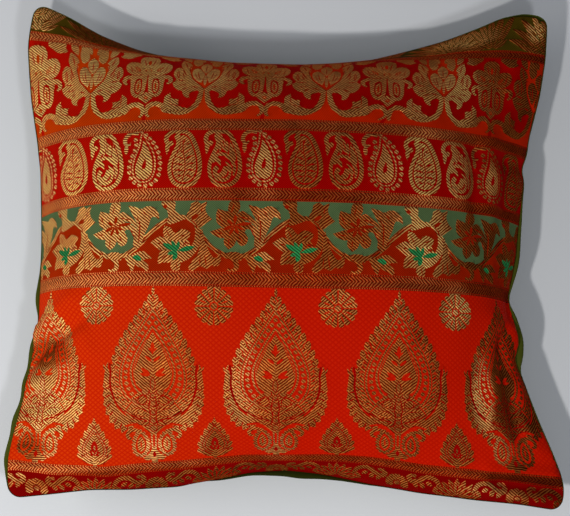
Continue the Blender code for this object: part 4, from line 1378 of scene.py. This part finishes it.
# The two cloths in the row frame. Sizes in millimetres over the flat cloth, and in metres where they lift it
CORNER_ROUND = 9.0
ROLL_WIDTH = 3.2
RIM_WIDTH = 7.0
RELIEF = 0.00022
RIM_RISE = 0.0009
BACK_ROWS = 161
RIM_ROWS = 8
SLOPE_STEP = 0.004


def rounded(s, t):
    """Cloth places in millimetres with the four corners drawn in to a round end, as shares from -1 to 1."""
    past_s = np.maximum(np.abs(s) - (CUT - CORNER_ROUND), 0.0)
    past_t = np.maximum(np.abs(t) - (CUT - CORNER_ROUND), 0.0)
    squeeze = np.maximum(past_s, past_t) / np.maximum(np.hypot(past_s, past_t), 0.001)
    less = np.where((past_s > 0.0) & (past_t > 0.0), 1.0 - squeeze, 0.0)
    return (s - np.sign(s) * past_s * less) / CUT, (t - np.sign(t) * past_t * less) / CUT


def outward(surface, u, v, toward):
    """Direction that points out of a surface at its places."""
    along_u = np.stack(surface(u + SLOPE_STEP, v), 1) - np.stack(surface(u - SLOPE_STEP, v), 1)
    along_v = np.stack(surface(u, v + SLOPE_STEP), 1) - np.stack(surface(u, v - SLOPE_STEP), 1)
    normal = np.cross(along_u, along_v) * toward
    return normal / np.linalg.norm(normal, axis=1)[:, None]


def seam_share(s, t, width):
    """0 at a width in from the seam and 1 at the seam."""
    return np.clip(1.0 - (CUT - np.maximum(np.abs(s), np.abs(t))) / width, 0.0, 1.0)


def front_places(s, t, lift):
    """Places of the front cloth, lifted outward, with the edge turned down into the seam."""
    u, v = rounded(s, t)
    share = seam_share(s, t, ROLL_WIDTH)
    raised = outward(front_surface, u, v, 1.0) * (lift * (1.0 - share))[:, None]
    here = np.stack(front_surface(u, v), 1) + raised
    here[:, 2] -= CLOTH_EDGE * (1.0 - np.sqrt(1.0 - share**2))
    return here - (CENTRE_X, CENTRE_Y, 0.0)


def back_places(s, t, lift):
    """Places of the back cloth, lifted outward. Its rim swells out past the seam and turns up into it."""
    full = 1.0 - RIM_WIDTH / CUT
    u, v = rounded(np.clip(s / full, -CUT, CUT), np.clip(t / full, -CUT, CUT))
    share = seam_share(s, t, RIM_WIDTH)
    turn = (1.0 - share) * math.pi / 2.0
    x, y = plan_of_cloth(u, v)
    x = x + side_offset(LIP_LEFT, LIP_RIGHT, u, v, LIP_REACH) * np.sign(u) * np.sin(turn)
    y = y + side_offset(LIP_BOTTOM, LIP_TOP, v, u, LIP_REACH) * np.sign(v) * np.sin(turn)
    _, _, z = back_surface(u, v)
    z = z + np.where(share > 0.0, (SEAM_HEIGHT - z) * np.cos(turn) + RIM_RISE * np.sin(2.0 * turn), 0.0)
    here = np.stack([x, y, z], 1) + outward(back_surface, u, v, -1.0) * (lift * (1.0 - share))[:, None]
    return here - (CENTRE_X, CENTRE_Y, 0.0)


def add_weave_map(mesh, cloth):
    """Map of the flat cloth, 0 to 1 across and up."""
    layer = mesh.uv_layers.new(name="OFBake")
    corners = np.zeros(len(mesh.loops), dtype=np.int32)
    mesh.loops.foreach_get("vertex_index", corners)
    layer.data.foreach_set("uv", ((cloth[corners] + CUT) / (2.0 * CUT)).ravel())


def add_object(name, data):
    """Object linked to the scene."""
    piece = bpy.data.objects.new(name, data)
    bpy.context.scene.collection.objects.link(piece)
    return piece


def finished(mesh):
    """Object with smooth shading from a mesh."""
    mesh.polygons.foreach_set("use_smooth", np.ones(len(mesh.polygons), dtype=bool))
    mesh.update()
    return add_object(mesh.name, mesh)


def front_cloth():
    """Front cloth with every woven shape as its own faces, the gold raised a little."""
    mesh, order, raised = woven_mesh("front_cloth")
    flat = np.zeros(len(mesh.vertices) * 3)
    mesh.vertices.foreach_get("co", flat)
    cloth = flat.reshape(-1, 3)[:, :2]
    lift = raised * RELIEF + creases(cloth[:, 0], cloth[:, 1]) * MM
    places = front_places(cloth[:, 0], cloth[:, 1], lift)
    mesh.vertices.foreach_set("co", places.ravel())
    add_weave_map(mesh, cloth)
    # Painted light and painted shade for the gold, kept on the vertices
    layer = mesh.attributes.new("painted_light", "FLOAT", "POINT")
    layer.data.foreach_set("value", painted_light_on_gold(cloth[:, 0], cloth[:, 1]))
    for colour in order:
        mesh.materials.append(weave_material(colour))
    return finished(mesh)


def back_cloth():
    """Plain back cloth, its rows closer together near the seam."""
    inner = np.linspace(-CUT + RIM_WIDTH, CUT - RIM_WIDTH, BACK_ROWS)
    rim = np.linspace(0.0, RIM_WIDTH, RIM_ROWS)[:-1]
    rows = np.concatenate([-CUT + rim, inner, CUT - rim[::-1]])
    s, t = (grid.ravel() for grid in np.meshgrid(rows, rows))
    places = back_places(s, t, creases_of_back(s, t) * MM)
    count = len(rows)
    starts = [row * count + column for row in range(count - 1) for column in range(count - 1)]
    faces = [(i + 1, i, i + count, i + count + 1) for i in starts]
    mesh = bpy.data.meshes.new("back_cloth")
    mesh.from_pydata([tuple(place) for place in places], [], faces)
    add_weave_map(mesh, np.stack([s, t], 1))
    mesh.materials.append(green_silk())
    return finished(mesh)


# Floor, light and camera. Lamps as name, place in metres, size in metres, watts and colour, all aimed at AIM
AIM = (0.0, 0.0, 0.03)
LAMPS = (
    ("key", (-0.35, -0.645, 1.10), 0.05, 5.9, (1.0, 0.97, 0.93)),
    ("front_box", (0.0, -0.3, 1.3), 0.5, 0.55, (1.0, 0.98, 0.96)),
    ("left_box", (-0.98, -0.12, 0.62), 0.55, 3.4, (1.0, 0.99, 0.97)),
    ("side", (0.24, -0.60, 1.15), 0.1, 2.6, (0.97, 0.98, 1.0)),
)
FLOOR_HALF = 4.0
FLOOR_DROP = 0.0004
FLOOR_COLOUR, FLOOR_ROUGHNESS = (236, 239, 244), 0.8
SKY_COLOUR, SKY_STRENGTH = (225, 230, 238), 0.15
# Camera: width and focal length in pixels of the photo, sensor in millimetres, tilt and roll in radians,
# target and distance in metres
PIXELS_WIDE = 570.0
FOCAL_PIXELS = 1476.8
SENSOR = 36.0
TILT, ROLL = 0.2212, 0.0177
TARGET = (-0.0028, -0.0060, 0.06)
DISTANCE = 1.0824


def floor():
    """Pale floor under the cushion."""
    mesh = bpy.data.meshes.new("floor")
    corners = ((-1, -1), (1, -1), (1, 1), (-1, 1))
    mesh.from_pydata([(x * FLOOR_HALF, y * FLOOR_HALF, 0) for x, y in corners], [], [(0, 1, 2, 3)])
    material = bpy.data.materials.new("floor")
    material.use_nodes = True
    shader = material.node_tree.nodes["Principled BSDF"]
    shader.inputs["Base Color"].default_value = seen(FLOOR_COLOUR)
    shader.inputs["Roughness"].default_value = FLOOR_ROUGHNESS
    mesh.materials.append(material)
    piece = add_object("floor", mesh)
    piece.location.z = -FLOOR_DROP
    return piece


def lamp(name, place, size, power, colour):
    """Square soft lamp."""
    data = bpy.data.lights.new(name, "AREA")
    data.size = size
    data.energy = power
    data.color = colour
    piece = add_object(name, data)
    piece.location = place
    piece.rotation_euler = (Vector(AIM) - Vector(place)).to_track_quat("-Z", "Y").to_euler()


def sky():
    """Even pale light from all round."""
    world = bpy.data.worlds.new("room")
    world.use_nodes = True
    background = world.node_tree.nodes["Background"]
    background.inputs["Color"].default_value = seen(SKY_COLOUR)
    background.inputs["Strength"].default_value = SKY_STRENGTH
    bpy.context.scene.world = world


def camera():
    """Camera at the photo's angle: tilted toward the foot of the cushion and rolled a little."""
    right = Vector((1.0, 0.0, 0.0))
    up = Vector((0.0, math.cos(TILT), math.sin(TILT)))
    back = Vector((0.0, -math.sin(TILT), math.cos(TILT)))
    rolled_right = math.cos(ROLL) * right + math.sin(ROLL) * up
    rolled_up = -math.sin(ROLL) * right + math.cos(ROLL) * up
    eye = Vector(TARGET) - Vector((CENTRE_X, CENTRE_Y, 0.0)) + back * DISTANCE
    data = bpy.data.cameras.new("camera")
    data.sensor_width = SENSOR
    data.lens = FOCAL_PIXELS / PIXELS_WIDE * SENSOR
    piece = add_object("camera", data)
    turned = Matrix((rolled_right, rolled_up, back)).transposed().to_4x4()
    piece.matrix_world = Matrix.Translation(eye) @ turned
    bpy.context.scene.camera = piece


def main():
    """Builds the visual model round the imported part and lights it."""
    front = front_cloth()
    back = back_cloth()
    for piece, node, slot in ((front, "front_panel", "brocade"), (back, "back_panel", "green_silk")):
        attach(piece, "root")
        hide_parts(node)
    floor()
    sky()
    bpy.context.scene.view_settings.view_transform = "Standard"
    for row in LAMPS:
        lamp(*row)
    camera()


main()
